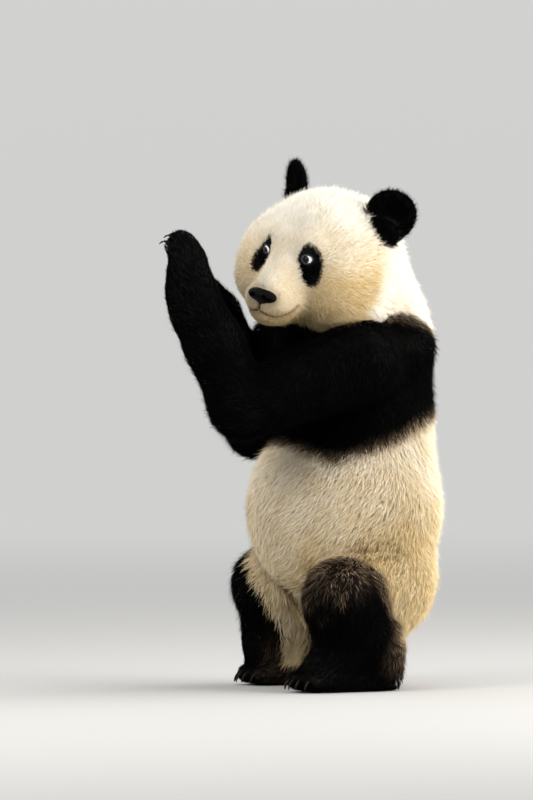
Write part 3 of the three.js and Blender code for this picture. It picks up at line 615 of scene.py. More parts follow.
SKIN_LOW = np.array([-258.0, -450, -12])
SKIN_HIGH = np.array([258.0, 262, 1092])
verts, quads = quads_of(sample_grid(SKIN_LOW, SKIN_HIGH, CELL), SKIN_LOW, CELL)
verts = verts
print("skin:", len(verts), "vertices,", len(quads), "quads")


# %% Finer quads round the eyes and the mouth
def near_detail(p, reach):
    best = np.full(len(p), 1e9)
    for eye in EYES.values():
        best = np.minimum(best, length(p - eye["at"] - eye["look"] * 8) - 12)
    close = near_mouth(p)
    for line in MOUTH_LINES:
        best[close] = np.minimum(best[close], line_distance(line, p[close]))
    return best < reach


mesh = bpy.data.meshes.new("skin")
mesh.from_pydata(verts.tolist(), [], quads.tolist())
mesh.validate()
work = bmesh.new()
work.from_mesh(mesh)
for reach in ((14, 9, 3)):
    work.verts.ensure_lookup_table()
    close = near_detail(np.array([v.co for v in work.verts]), reach)
    edges = [e for e in work.edges if close[e.verts[0].index] and close[e.verts[1].index]]
    bmesh.ops.subdivide_edges(work, edges=edges, cuts=1, use_grid_fill=True)
    work.verts.index_update()
bmesh.ops.triangulate(work, faces=work.faces[:])
bmesh.ops.recalc_face_normals(work, faces=work.faces[:])
work.to_mesh(mesh)
work.free()


def vertex_array(me):
    out = np.empty(len(me.vertices) * 3, np.float32)
    me.vertices.foreach_get("co", out)
    return out.reshape(-1, 3).astype(float)


def triangle_array(me):
    out = np.empty(len(me.polygons) * 3, np.int32)
    me.polygons.foreach_get("vertices", out)
    return out.reshape(-1, 3)


skin_verts = vertex_array(mesh)
fine = near_detail(skin_verts, 20)
skin_verts[fine] = settle(skin_field, skin_verts[fine], 8, 0.0, 1.2)
skin_tris = triangle_array(mesh)
print("skin after splitting:", len(skin_verts), "vertices,", len(skin_tris), "triangles")

# %% [markdown]
# ## Markings
# Skin and tufts ask the same function for their colour, so a dark tuft always stands on dark skin.
# It answers with four shares from 0 to 1: how dark, how tan, how brown, and how bare. The dark band
# round the shoulders is cut off level at the neck, falls away over the back, and ends below in two
# tilted planes with a round corner between them. The ears, the limbs, the throat and a slanting
# patch round each eye are dark too. On the near leg brown tells where pale tips mix into the dark.
# A little noise breaks every edge as real hair does. Some of the tan and brown is painted shade and
# light: brown low on the face and in the folds over the thigh, more tan on the near cheek, and a pale
# back edge on the flank for the light from behind.

# %% Smooth noise
NOISE_SIDE = 32


def noise(p, size, seed):
    """Smooth noise from -1 to 1 with lumps about one size across."""
    table = np.random.default_rng(seed).uniform(-1, 1, (NOISE_SIDE,) * 3)
    q = p / size
    i = np.floor(q).astype(int)
    f = q - i
    f = f * f * (3 - 2 * f)
    total = np.zeros(len(p))
    for c in range(8):
        o = np.array([c & 1, c >> 1 & 1, c >> 2])
        w = np.prod(np.where(o, f, 1 - f), axis=1)
        j = (i + o) % NOISE_SIDE
        total += w * table[j[:, 0], j[:, 1], j[:, 2]]
    return total


# %% The marking function
PATCH = {  # middle across and up, half length, half width, lean in degrees, swell below
    "left": ((57.5, 13.5), 42, 24, 9, 0.08),
    "right": ((55, 8), 45, 16, 23, 0.45),
}
EYE_DARK = {"left": 16, "right": 18}
CHEEK_END = (-105, -60, -22, 28, 80), (20, -56, -26, -2, 12)  # heights on the head, how far back
EAR_EDGE, EAR_EDGE_RISE = 9.0, 6.0
BAND_TOP, BAND_TOP_BEND, BAND_TOP_FALL, HEM_ROUND = 751, 45, 0.0042, 36
HAUNCH_AT, HAUNCH_BEHIND = (-45, 135), 76
INNER_LINE = (-118, -192)
HAUNCH = {"left": (220, 124), "right": (240, 150)}
CREASES = [  # from and to, each as back and up
    ((-66, 288), (56, 279)), ((-12, 303), (40, 299)), ((-58, 304), (-22, 299)), ((-40, 268), (44, 262)),
]


def patch_share(q):
    """How far inside the dark patch of its side a point of the head lies, in mm: 0 at the edge."""
    share = np.full(len(q), -30.0)
    for name, side in SIDES:
        (across, high), half_long, half_wide, lean, swell = PATCH[name]
        x, z = q[:, 0] * side - across, q[:, 2] - high
        lean = np.radians(lean)
        down = x * np.sin(lean) - z * np.cos(lean)
        out = x * np.cos(lean) + z * np.sin(lean)
        wide = half_wide * (1 + swell * down / half_long)
        inside = (1 - np.sqrt((down / half_long) ** 2 + (out / wide) ** 2)) * half_wide
        inside = np.maximum(inside, EYE_DARK[name] - length(q - np.array(EYE_AT[name], float)))
        share = np.where((q[:, 0] * side > 0) & (q[:, 1] < -40), inside, share)
    return share


def band_gaps(p):
    """How far below the dark band's upper edge and above its hem a point lies, in mm."""
    fall = np.maximum(p[:, 1] - BAND_TOP_BEND, 0)
    below_top = BAND_TOP - BAND_TOP_FALL * fall**2 - p[:, 2]
    front, back = (p - HEM_AT) @ HEM_FRONT_UP, (p - HEM_AT) @ HEM_BACK_UP
    return below_top, melt(front, back, HEM_ROUND) + HEM_ROUND / 6


def leg_share(p, gap, fray):
    """How dark a leg or the haunch beside it is. The dark ends in a round edge on the haunch."""
    y, z = p[:, 1] - HAUNCH_AT[0], p[:, 2] - HAUNCH_AT[1]
    left = p[:, 0] > 0
    ahead, high = (np.where(left, a, b) for a, b in zip(HAUNCH["left"], HAUNCH["right"]))
    bend = np.where(y > 0, 1.6, 2.0)
    across = np.abs(y) / np.where(y > 0, HAUNCH_BEHIND, ahead)
    edge = (across**bend + (np.maximum(z, 0) / high) ** bend) ** (1 / bend)
    low = ramp(116, 88, p[:, 2] + 6 * fray)
    round_edge = np.maximum(ramp(1.07, 0.93, edge + 0.10 * fray), low)
    inner = np.abs(p[:, 0]) + np.where(left, 20, 0)
    facing = p @ view_right + 5 * fray
    split = INNER_LINE[0] + (INNER_LINE[1] - INNER_LINE[0]) * ramp(80, 290, p[:, 2])
    ahead_of_split = np.maximum(ramp(-130, -158, p[:, 0]), ramp(split + 8, split - 8, facing))
    ahead_of_split = np.maximum(ahead_of_split, ramp(-50, -15, p[:, 1]) * ramp(170, 120, p[:, 2]))
    outer = ramp(78, 94, inner + 7 * fray) * np.where(left, 1, ahead_of_split)
    outer = np.maximum(outer, ramp(56, 36, p[:, 2]))
    reach = 5 + 45 * ramp(-90, -30, p[:, 1])
    return round_edge * outer * ramp(6, -9, gap - reach + 8 * fray), edge


def crease_share(p):
    """Skin folds where the bent thigh meets the flank, 1 in the middle of each, and the room above. Their
    share is also painted into the tan and brown as shade in the folds.
    """
    share, room = np.zeros(len(p)), np.full(len(p), 99.0)
    flank = (np.abs(p[:, 0]) > 90) & (np.abs(p[:, 2] - 300) < 60)
    wave, breaks = 8 * noise(p[flank], 30, 9), 3 * np.maximum(noise(p[flank], 15, 10), 0)
    q = np.stack([p[flank, 1], p[flank, 2] + wave, 0 * wave], 1)
    for start, end in CREASES:
        line = np.array([(*start, 0), (*end, 0)], float)
        away = line_distance(line, q)
        share[flank] = np.maximum(share[flank], ramp(6, 2, away + breaks))
        above = q[:, 1] > line[0, 1] + (line[1, 1] - line[0, 1]) * ramp(line[0, 0], line[1, 0], q[:, 0])
        room[flank] = np.minimum(room[flank], np.where(above, away, 99))
    return share, room


def head_tan(q, fray):
    """Tan of cheeks, jaw and snout, and how far before the end of the cheek a point lies."""
    x, y, z = np.abs(q[:, 0]), q[:, 1], q[:, 2]
    cheek_end = np.interp(z, CHEEK_END[0], CHEEK_END[1]) + 6 * fray
    before_end = ramp(cheek_end + 18, cheek_end - 30, y)
    # The near cheek gets more tan than the far one: painted shade, as the light leaves it darker.
    cheek = ramp(20, 80, x) * ramp(110, -30, z) * (0.6 + 0.4 * ramp(-40, 40, q[:, 0]))
    jaw = ramp(-40, -90, z) * ramp(-235, -175, y)
    snout = 0.38 * ramp(-85, -125, y) * ramp(10, 34, x) * ramp(10, -30, z)
    snout += 0.06 + 0.10 * ramp(80, 20, z)
    return np.maximum.reduce([cheek, jaw, snout]) * before_end, before_end


def add_bare_places(p, bare, brown):
    """Bare lid rims and lips, with brown hair round the lips and the nose pad."""
    for eye in EYES.values():
        near = length(p - eye["at"]) < 30
        bare[near] = np.maximum(bare[near], ramp(3.2, 1.8, eye["slit"](p[near])))
    close = near_mouth(p)
    q = p[close]
    for line, wide in zip(MOUTH_LINES, MOUTH_BARE):
        away = line_distance(line, q)
        bare[close] = np.maximum(bare[close], ramp(wide + 1.0, wide - 1.0, away))
        brown[close] = np.maximum(brown[close], ramp(10, 3, away + 2 * noise(q, 6, 11)) * 0.85)
    pad = head_egg(NOSE_AT, NOSE_SIZE)(q)
    brown[close] = np.maximum(brown[close], ramp(13, 2, pad + 4 * noise(q, 7, 12)) * 0.5)


def marks(p, rows=None):
    """Four shares from 0 to 1 at each point: dark, tan, brown and bare."""
    rows = each_part(p, False) if rows is None else rows
    part = dict(zip(PART_NAMES, rows))
    q = to_head(p)
    x, y, z = np.abs(p[:, 0]), p[:, 1], p[:, 2]
    fray = noise(p, 26, 3) + 0.6 * noise(p, 11, 4)
    arms = np.minimum(part["arm_left"], part["arm_right"])
    legs = np.minimum(part["leg_left"], part["leg_right"])
    ears = np.minimum(part["ear_left"], part["ear_right"]) - np.minimum(part["head"], 60)
    on_head = part["head"] < np.minimum(part["trunk"], arms) - 1
    on_trunk = ~on_head & (part["trunk"] < arms - 8)

    below_top, above_hem = band_gaps(p)
    hem_blur = 8 + 12 * ramp(60, -60, y)
    band = ramp(-7, 7, below_top + 6 * fray) * ramp(-1, 1, (above_hem + 7 * fray) / hem_blur)
    on_arm = ramp(8, -12, arms - np.minimum(part["trunk"], part["head"]) + 4 * fray)
    on_leg, leg_edge = leg_share(p, legs - part["trunk"], fray)
    on_ear = ramp(EAR_EDGE, EAR_EDGE - EAR_EDGE_RISE, ears + 2 * fray)
    patch = ramp(-1.8, 1.8, patch_share(q) + 1.6 * noise(p, 5, 5))
    throat = ramp(-97, -111, q[:, 2] + 4 * fray) * ramp(-124, -104, q[:, 1] + 4 * fray)
    on_face = np.maximum.reduce([patch, on_ear, throat])
    dark = np.where(on_head, on_face, np.maximum.reduce([band, on_arm, on_leg, on_ear]))

    face_tan, before_end = head_tan(q, fray)
    low = 0.45 + 0.55 * ramp(480, 250, z) * (0.45 + 0.55 * ramp(-150, -20, y))
    # The tan fades towards the back, so the back edge stays pale: painted rim light from behind.
    flank = low * ramp(620, 520, z) * ramp(225, 130, y)
    # Painted shade: the folds over the thigh are tinted tan and brown.
    crease_shade, _ = crease_share(p)
    tan = np.where(on_head, face_tan, np.maximum(flank, crease_shade))
    tan = np.clip(tan + 0.20 * noise(p, 60, 6) + 0.12 * fray, 0, 1)

    between_legs = ramp(112, 60, x) * ramp(190, 90, z) * ramp(80, 0, y)
    frost = ramp(0.42, 1.05, leg_edge + 0.14 * fray) * ramp(20, 120, z)
    frost = frost * (on_leg > 0.05) * (p[:, 0] > 0)
    singe = ramp(1.24, 1.02, leg_edge) * ramp(-0.3, 0.5, fray) * ramp(-150, -90, y) * ramp(100, 160, z)
    singe = singe * on_trunk * (on_leg < 0.5)
    band_edges = np.maximum(
        ramp(30, 2, below_top) * (below_top > -6), ramp(30, 2, above_hem) * (above_hem > -8),
    )
    # Painted shade: a brown share that grows down the face towards the jaw, weaker on the snout's front.
    lower_face_shade = (0.05 + 0.20 * ramp(20, -80, q[:, 2])) * on_head * before_end * ramp(90, 40, q[:, 2])
    lower_face_shade *= (0.5 + 0.5 * ramp(-150, -110, q[:, 1])) * (1 - dark)
    # The brown share holds real marks and painted shade alike.
    brown = np.maximum.reduce([
        lower_face_shade, 0.7 * between_legs, frost, 0.65 * band_edges * on_trunk, 0.8 * crease_shade, 0.7 * singe,
    ])
    bare = np.zeros(len(p))
    add_bare_places(p, bare, brown)
    return {"dark": dark, "tan": tan, "brown": np.clip(brown, 0, 1), "bare": bare}


# %% [markdown]
# ## Shader helpers
# A material is a sum of small decisions, so it reads best as arithmetic. The class below wraps one
# socket of a shader node: adding or multiplying two of them adds the Math node that does it.
# Colours are mixed by their own method, because a Math node would turn them grey.


# %% Sockets that can be added and multiplied
class Value:
    """A number that varies over a surface."""

    def __init__(self, graph, socket):
        self.graph, self.socket = graph, socket

    def math(self, operation, first, second=0.0):
        made = self.graph.node("ShaderNodeMath", {"operation": operation}, first, second)
        return Value(self.graph, made.outputs[0])

    def __add__(self, other):
        return self.math("ADD", self, other)

    def __sub__(self, other):
        return self.math("SUBTRACT", self, other)

    def __rsub__(self, other):
        return self.math("SUBTRACT", other, self)

    def __mul__(self, other):
        return self.math("MULTIPLY", self, other)

    def __truediv__(self, other):
        return self.math("DIVIDE", self, other)

    def larger(self, other):
        return self.math("MAXIMUM", self, other)

    __radd__ = __add__
    __rmul__ = __mul__


class Graph:
    """The node tree of one material, or of the sky."""

    def __init__(self, name, kind="materials"):
        self.material = getattr(bpy.data, kind).new(name)
        self.material.use_nodes = True
        self.tree = self.material.node_tree
        self.tree.nodes.clear()

    def node(self, kind, settings=None, *inputs, **named):
        made = self.tree.nodes.new(kind)
        for key, value in (settings or {}).items():
            setattr(made, key, value)
        for key, value in list(enumerate(inputs)) + [(k.replace("_", " "), v) for k, v in named.items()]:
            socket = made.inputs[key]
            if isinstance(value, Value):
                self.tree.links.new(value.socket, socket)
            else:
                socket.default_value = value
        return made

    def attribute(self, name):
        made = self.node("ShaderNodeAttribute", {"attribute_name": name})
        return Value(self, made.outputs["Fac"])

    def noise(self, scale, detail=3.0):
        place = self.node("ShaderNodeTexCoord")
        where = Value(self, place.outputs["Object"])
        made = self.node("ShaderNodeTexNoise", {}, Vector=where, Scale=scale, Detail=detail)
        return Value(self, made.outputs[0])

    def eased(self, value, low, high):
        """The value's smooth way from 0 at low to 1 at high."""
        made = self.node(
            "ShaderNodeMapRange", {"interpolation_type": "SMOOTHSTEP"},
            Value=value, From_Min=low, From_Max=high,
        )
        return Value(self, made.outputs[0])

    def clamped(self, value):
        return Value(self, self.node("ShaderNodeClamp", {}, Value=value).outputs[0])

    def mixed(self, share, first, second):
        made = self.node("ShaderNodeMix", {"data_type": "RGBA"}, Factor=share)
        for socket, value in zip([s for s in made.inputs if s.type == "RGBA"], (first, second)):
            if isinstance(value, Value):
                self.tree.links.new(value.socket, socket)
            else:
                socket.default_value = (*value, 1)
        return Value(self, next(s for s in made.outputs if s.type == "RGBA"))

    def bump(self, height, strength, distance):
        made = self.node("ShaderNodeBump", {}, Strength=strength, Distance=distance, Height=height)
        return Value(self, made.outputs[0])

    def finish(self, **inputs):
        shader = self.node("ShaderNodeBsdfPrincipled", {}, **inputs)
        out = self.node("ShaderNodeOutputMaterial")
        self.tree.links.new(shader.outputs[0], out.inputs["Surface"])
        return self.material


# %% [markdown]
# ## Colours of the coat
# White panda hair is really cream, with tan on the cheeks and flanks, part of which is painted
# shade and light. Painted shade also darkens and warms each tuft towards its root, and the lower
# locks as a whole, where the coat shades itself. Dark hair is black, and where its brown share rises
# it is rusty in its depth and some of it ends in frosted tips. Each tuft carries its shares as
# attributes, plus how far along it a point lies and a number of its own, so no two neighbours match.

# %% Coat material
WHITE = (0.93, 0.895, 0.81)
TAN = (0.74, 0.555, 0.26)
ROOT_SHADE = (0.40, 0.265, 0.115)
BROWN = (0.17, 0.09, 0.04)
DARK = (0.0005, 0.0005, 0.0006)
RUST = (0.040, 0.021, 0.012)
FROST = (0.62, 0.47, 0.31)


def coat_material():
    g = Graph("fur")
    dark, tan, brown = (g.attribute(k) for k in ("dark", "tan", "brown"))
    along_it, chance = g.attribute("along"), g.attribute("chance")
    # Locks with a low number are tanner and also sit lower, so this tan is partly painted shade.
    pale = g.mixed(tan * (1.15 - chance * 0.6), WHITE, TAN)
    pale = g.mixed(brown * (1 - dark) * (1 - chance * 0.4), pale, BROWN)
    # Painted shade: each tuft darker and warmer towards its root, and the lower locks darker, where the
    # coat shades itself.
    depth_shade = (1 - along_it) * 0.5 + (1 - chance) * 0.4
    pale = g.mixed(depth_shade * (0.27 + tan * 0.65), pale, ROOT_SHADE)
    deep = g.mixed(brown * (0.4 + chance * 0.6), DARK, RUST)
    deep = g.mixed(brown * along_it * (chance - 0.45).larger(0.0) * 2.2, deep, FROST)
    colour = g.mixed(dark, pale, deep)
    return g.finish(Base_Color=colour, Roughness=0.75 - dark * 0.2, Specular_IOR_Level=0.02)


def skin_material():
    g = Graph("skin")
    dark, tan, brown, bare = (g.attribute(k) for k in ("dark", "tan", "brown", "bare"))
    grain = g.noise(260.0)
    pale = g.mixed(tan * 0.6 + 0.3, WHITE, TAN)
    pale = g.mixed(brown * 0.8, pale, BROWN)
    colour = g.mixed(dark, pale, DARK)
    # The dark bare lid rims are blue grey, partly their own colour and partly a painted wet sheen; bare
    # lips are brown.
    hide = g.mixed(dark, (0.060, 0.030, 0.020), (0.045, 0.048, 0.056))
    colour = g.mixed(bare, colour, hide)
    return g.finish(
        Base_Color=colour, Roughness=0.75 - bare * 0.3, Specular_IOR_Level=0.25,
        Normal=g.bump(grain, 0.35, 0.001),
    )


FUR, SKIN = coat_material(), skin_material()


# %% [markdown]
# ## Meshes from arrays
# Blender takes whole arrays of corners and triangles at once, which is far quicker than adding
# faces one by one. Each piece then rides on the solids' only body, takes its material and hides
# the solids it stands for.

# %% From arrays to a piece
def make_mesh(name, points, tris, attributes=None):
    me = bpy.data.meshes.new(name)
    me.vertices.add(len(points))
    me.vertices.foreach_set("co", to_scene(points).astype(np.float32).ravel())
    me.loops.add(len(tris) * 3)
    me.loops.foreach_set("vertex_index", np.asarray(tris, np.int32).ravel())
    me.polygons.add(len(tris))
    me.polygons.foreach_set("loop_start", np.arange(0, len(tris) * 3, 3, dtype=np.int32))
    me.update(calc_edges=True)
    for key, values in (attributes or {}).items():
        me.attributes.new(key, "FLOAT", "POINT").data.foreach_set("value", np.asarray(values, np.float32))
    me.shade_smooth()
    return me


def piece(name, me, material, replaced=()):
    made = bpy.data.objects.new(name, me)
    me.materials.append(material)
    bpy.context.scene.collection.objects.link(made)
    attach(made, "root")
    if replaced:
        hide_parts(*replaced)
    return made


FLESH = [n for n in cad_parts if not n.startswith(("eye_left", "eye_right", "nose"))]
skin_marks = marks(skin_verts)
piece("skin", make_mesh("skin", skin_verts, skin_tris, skin_marks), SKIN, FLESH)
print("the skin stands for", len(FLESH), "solids")

# %% [markdown]
# ## The lie of the coat
# Hair grows away from the nose over the whole head, outward on the ears, down the trunk with a
# turn towards the belly, along each limb to the paw, and forward on the feet. Near a joint two
# parts share the say by how near each is, so the lie turns without a seam.


# %% Directions and lengths
def shares(rows, soft=10.0):
    w = np.exp(-(rows - rows.min(0)) / soft)
    return w / w.sum(0)


def eye_nearness(p, start, end):
    """1 at the lids, 0 away from them, and the way out from the nearer eye."""
    best, way = np.full(len(p), 1e9), np.zeros_like(p)
    for eye in EYES.values():
        out = p - eye["at"] - eye["look"] * 8
        away = length(out)
        closer = away < best
        best[closer], way[closer] = away[closer], out[closer]
    return ramp(start, end, best), unit(way)


def lie_of(p, n, rows):
    w = dict(zip(PART_NAMES, shares(rows)))
    q = to_head(p)
    z = p[:, 2]
    down = np.array([0, 0, -1.0])
    lie = np.zeros_like(p)
    from_nose = unit(q - (0, -178, -48))
    droop = ramp(30, 110, np.abs(q[:, 0])) * ramp(60, -40, q[:, 2])
    droop += 0.6 * ramp(-60, -110, q[:, 2])
    head_way = from_nose + droop[:, None] * (0, 0.25, -0.75)
    near_eye, from_eye = eye_nearness(p, 30, 12)
    head_lie = head_way @ HEAD_AXES.T + 2.2 * near_eye[:, None] * from_eye
    lie += w["head"][:, None] * head_lie
    belly_turn = ramp(560, 330, z) * ramp(190, 20, p[:, 1])
    inward = -np.sign(p[:, 0]) * ramp(250, 60, z) * 0.3
    lie += w["trunk"][:, None] * (down + np.stack([inward, -0.95 * belly_turn, 0 * z], 1))
    lie += w["tail"][:, None] * down
    for name, (_, at, axes) in EARS.items():
        lie += w[f"ear_{name}"][:, None] * unit(p - (at - axes[:, 2] * 60 - axes[:, 1] * 20))
    for name, arm in ARMS.items():
        run, way, total = along(arm["path"], p)
        reach = ramp(0.02, 0.40, run / total)[:, None]
        lie += w[f"arm_{name}"][:, None] * ((0.25 + 0.75 * reach) * way + (1.2 - 0.8 * reach) * down)
    for name, leg in LEGS.items():
        _, way, _ = along(leg["path"], p)
        foot = ramp(120, 20, z)[:, None]
        leg_lie = (1 - foot) * (down + 0.3 * way) + foot * (leg["ahead"] + 0.6 * down)
        lie += w[f"leg_{name}"][:, None] * leg_lie
    sway = np.stack([noise(p, 46, 20 + i) for i in range(3)], 1)
    lie = unit(lie) + 0.30 * sway * (1 - 0.7 * near_eye[:, None])
    lie -= n * (lie * n).sum(1, keepdims=True)
    return unit(lie + 1e-6)


STYLE = {  # length, half width, tufts a square centimetre, how far loose tips stand off, in mm
    "body": (28, 0.78, 13, 9),
    "neck": (22, 0.70, 19, 9),
    "head": (17, 0.66, 26, 9),
    "face": (9, 0.50, 42, 3),
    "muzzle": (6, 0.42, 54, 2),
    "ear": (20, 0.58, 30, 8),
    "foot": (14, 0.66, 17, 3),
}


def style(p, rows):
    """Length, half width, tufts a square centimetre and looseness at each point."""
    w = dict(zip(PART_NAMES, shares(rows)))
    q = to_head(p)
    face = ramp(-55, -125, q[:, 1])
    muzzle_share = ramp(-128, -160, q[:, 1])
    jaw = ramp(-45, -110, q[:, 2]) * ramp(-160, -110, q[:, 1])
    ruff = ramp(70, 120, np.abs(q[:, 0])) * ramp(20, -50, q[:, 2])
    body, neck_style, head, on_face, snout, ear_style, foot_style = np.array(list(STYLE.values()))
    one = np.ones((len(p), 1))
    made = body + (ramp(680, 770, p[:, 2]) * w["trunk"])[:, None] * (neck_style - body)
    made[:, 0] += 8 * ramp(250, 170, p[:, 2]) * w["trunk"] * ramp(120, 60, p[:, 1]) - 9 * w["tail"]
    made[:, 0] = np.minimum(made[:, 0], crease_share(p)[1] + 14)
    limb_share = np.zeros(len(p))
    for group, limbs in (("arm", ARMS), ("leg", LEGS)):
        for name, limb in limbs.items():
            run, _, total = along(limb["path"], p)
            limb_share += w[f"{group}_{name}"] * ramp(0.25, 0.95, run / total)
    made += limb_share[:, None] * (foot_style - made)
    made[:, 0] += 16 * ramp(125, 80, np.abs(p[:, 0])) * ramp(200, 110, p[:, 2]) * ramp(20, 50, p[:, 2])
    skull_style = head * one + face[:, None] * (on_face - head)
    skull_style += muzzle_share[:, None] * (snout - skull_style)
    skull_style[:, 0] += 12 * jaw + 10 * ruff * (1 - face)
    skull_style[:, 3] += 5 * jaw + 5 * ruff * (1 - face)
    part = dict(zip(PART_NAMES, rows))
    fringe = ramp(-68, -86, q[:, 2]) * ramp(-122, -108, q[:, 2]) * ramp(-160, -120, q[:, 1])
    skull_style[:, 0] += 6 * fringe
    skull_style[:, 3] += 10 * fringe
    below = np.minimum.reduce([part["trunk"], part["arm_left"], part["arm_right"]])
    overhang = ramp(36, 6, below) * (1 - face)
    skull_style[:, 0] += 8 * overhang
    skull_style[:, 3] += 4 * overhang
    near_eye, _ = eye_nearness(p, 30, 10)
    skull_style[:, 0] += near_eye * (3.5 - skull_style[:, 0])
    made[:, 0] *= 1 - 0.55 * ramp(26, 6, part["head"])
    made += w["head"][:, None] * (skull_style - made)
    ear = (w["ear_left"] + w["ear_right"])[:, None]
    made += ear * (ear_style - made)
    close = near_mouth(p)
    for line in MOUTH_LINES:
        lip = ramp(9, 3, line_distance(line, p[close]))
        made[close, 0] += lip * (3.4 - made[close, 0])
    return made.T


# %% Where the tufts stand
TUFT_COUNT = 240000
chance = np.random.default_rng(7)
corners = skin_verts[skin_tris]
face_cross = np.cross(corners[:, 1] - corners[:, 0], corners[:, 2] - corners[:, 0])
face_area = np.linalg.norm(face_cross, axis=1) / 2
face_mid = corners.mean(1)
face_rows = each_part(face_mid, False)
face_many = style(face_mid, face_rows)[2]
face_bare = marks(face_mid, face_rows)["bare"]
on_nose = head_egg(NOSE_AT, np.array(NOSE_SIZE) + (0, 2, 0))(face_mid) < 0.5
weight = face_area * face_many * (1 - face_bare) * ~on_nose * (face_mid[:, 2] > 4)
steps = np.cumsum(weight)
stops = (np.arange(TUFT_COUNT) + chance.random(TUFT_COUNT)) / TUFT_COUNT * steps[-1]
picked = np.minimum(np.searchsorted(steps, stops), len(weight) - 1)
u, v = chance.random((2, TUFT_COUNT))
u, v = np.where(u + v > 1, 1 - u, u), np.where(u + v > 1, 1 - v, v)
tri = corners[picked]
roots = tri[:, 0] + u[:, None] * (tri[:, 1] - tri[:, 0]) + v[:, None] * (tri[:, 2] - tri[:, 0])
print("area of the skin: %.2f square metres" % (face_area.sum() / 1e6))
print("tufts wanted:", int(steps[-1] / 100))

# %% [markdown]
# ## Tufts
# One tuft is a closed sliver: a root sunk in the skin, a ring of three corners part way along and a
# tip, so it can bend once. Its tip is pulled towards the middle of a clump, so that the coat parts
# into small locks, and then settled near the height where the solids end. Real particle hair would
# be finer, but it is lost when a model is exported.

# %% Bend each tuft over the skin
normals = unit(gradient(skin_plain, roots, 2.0))
root_rows = each_part(roots, False)
root_depth = -joined(root_rows)
lie = lie_of(roots, normals, root_rows)
long, wide, _, loose = style(roots, root_rows)
long = long * chance.uniform(0.7, 1.2, TUFT_COUNT)
wide = wide * chance.uniform(0.8, 1.25, TUFT_COUNT)
stray = unit(chance.normal(size=(TUFT_COUNT, 3)))
jitter = np.interp(long, [8, 24], [0.24, 0.42])[:, None]
lie = unit(lie + jitter * (stray - normals * (stray * normals).sum(1, keepdims=True)))


def clump_middle(p, size, seed):
    """The nearest of many scattered points, about one size apart."""
    table = np.random.default_rng(seed).uniform(0.1, 0.9, (NOISE_SIDE, NOISE_SIDE, NOISE_SIDE, 3))
    cell = np.floor(p / size[:, None]).astype(int)
    best, middle = np.full(len(p), 1e9), p.copy()
    for c in range(27):
        j = cell + (c % 3 - 1, c // 3 % 3 - 1, c // 9 - 1)
        k = j % NOISE_SIDE
        at = (j + table[k[:, 0], k[:, 1], k[:, 2]]) * size[:, None]
        away = length(at - p)
        closer = away < best
        best[closer], middle[closer] = away[closer], at[closer]
    return middle


clump_size = np.clip(long * 0.21, 3.4, 7) * 2 ** (0.45 * noise(roots, 60, 13))
clump_size = 2.0 ** (np.round(np.log2(clump_size) * 2) / 2)
clump = clump_middle(roots, clump_size, 8)
clump_chance = np.sin(clump @ (12.9898, 7.8233, 3.7719)) * 4375.85
clump_chance -= np.floor(clump_chance)
to_clump = clump - roots
to_clump -= normals * (to_clump * normals).sum(1, keepdims=True)

depth = np.clip(root_depth, 1.0, 30)
is_stray = chance.random(TUFT_COUNT) < 0.2
wide = np.where(is_stray, wide * 0.7, wide)
tip_height = depth * chance.uniform(-0.20, 0.02, TUFT_COUNT)
tip_height += np.minimum(0.32 * depth, 4) * (clump_chance - 0.75)
tip_height += chance.random(TUFT_COUNT) ** 2 * loose * 0.3
tip_height += is_stray * chance.uniform(0.2, 1.2, TUFT_COUNT) * loose
tip_height -= 9 * crease_share(roots)[0]
pull = np.interp(long, [8, 26], [0.55, 0.35])
middles = roots + lie * (long * 0.42)[:, None] + to_clump * 0.2 + normals * (depth * 0.6)[:, None]
tips = roots + lie * (long * 0.97)[:, None] + to_clump * pull[:, None] + normals * depth[:, None]


def at_height(p, height):
    g = gradient(coat_top, p, 1.5)
    move = np.clip((height - coat_top(p)) / np.maximum((g * g).sum(1), 0.3), -12, 12)
    return p + g * move[:, None]


middles = at_height(middles, 0.3 * tip_height - 0.36 * depth)
tips = at_height(tips, tip_height)
middles[:, 2] = np.maximum(middles[:, 2], 2.0)
tips[:, 2] = np.maximum(tips[:, 2], 0.8)
print("tufts:", TUFT_COUNT, "mean length %.1f mm" % length(tips - roots).mean())


# %% [markdown]
# ## Pieces of coat
# The tufts are shared out by the part that they stand on, and each part is unwrapped round its own
# bone: the angle round it and the distance along it. Every tuft gets a small square of that unwrap
# at its root's place, which gives a baked texture room for its colour.

# %% Unwrap of each part
def unwrap(kind, p):
    """Angle round the part's line and distance along it, both from 0 to 1 or so."""
    if kind == "head":
        q = to_head(p)
        return np.arctan2(q[:, 0], q[:, 2]), np.arctan2(np.hypot(q[:, 0], q[:, 2]), -q[:, 1] - 20)
    if kind.startswith("ear"):
        _, at, axes = EARS[kind[4:]]
        q = (p - at) @ axes
        return np.arctan2(q[:, 0], -q[:, 1] * 3), q[:, 2]
    if kind == "tail":
        return np.arctan2(p[:, 0], p[:, 1] - 150), p[:, 2]
    if kind == "trunk":
        return np.arctan2(p[:, 0], p[:, 1] - 20), p[:, 2]
    group, side = kind.split("_")
    limb = (ARMS if group == "arm" else LEGS)[side]
    run, way, _ = along(limb["path"], p)
    across = unit(np.cross(way, (1, 0.01, 0)))
    out = p - np.array(limb["path"][0])
    return np.arctan2((out * across).sum(1), (out * np.cross(way, across)).sum(1)), run


def fit(v, low, high):
    return 0.008 + 0.98 * (v - low) / max(high - low, 1e-6)


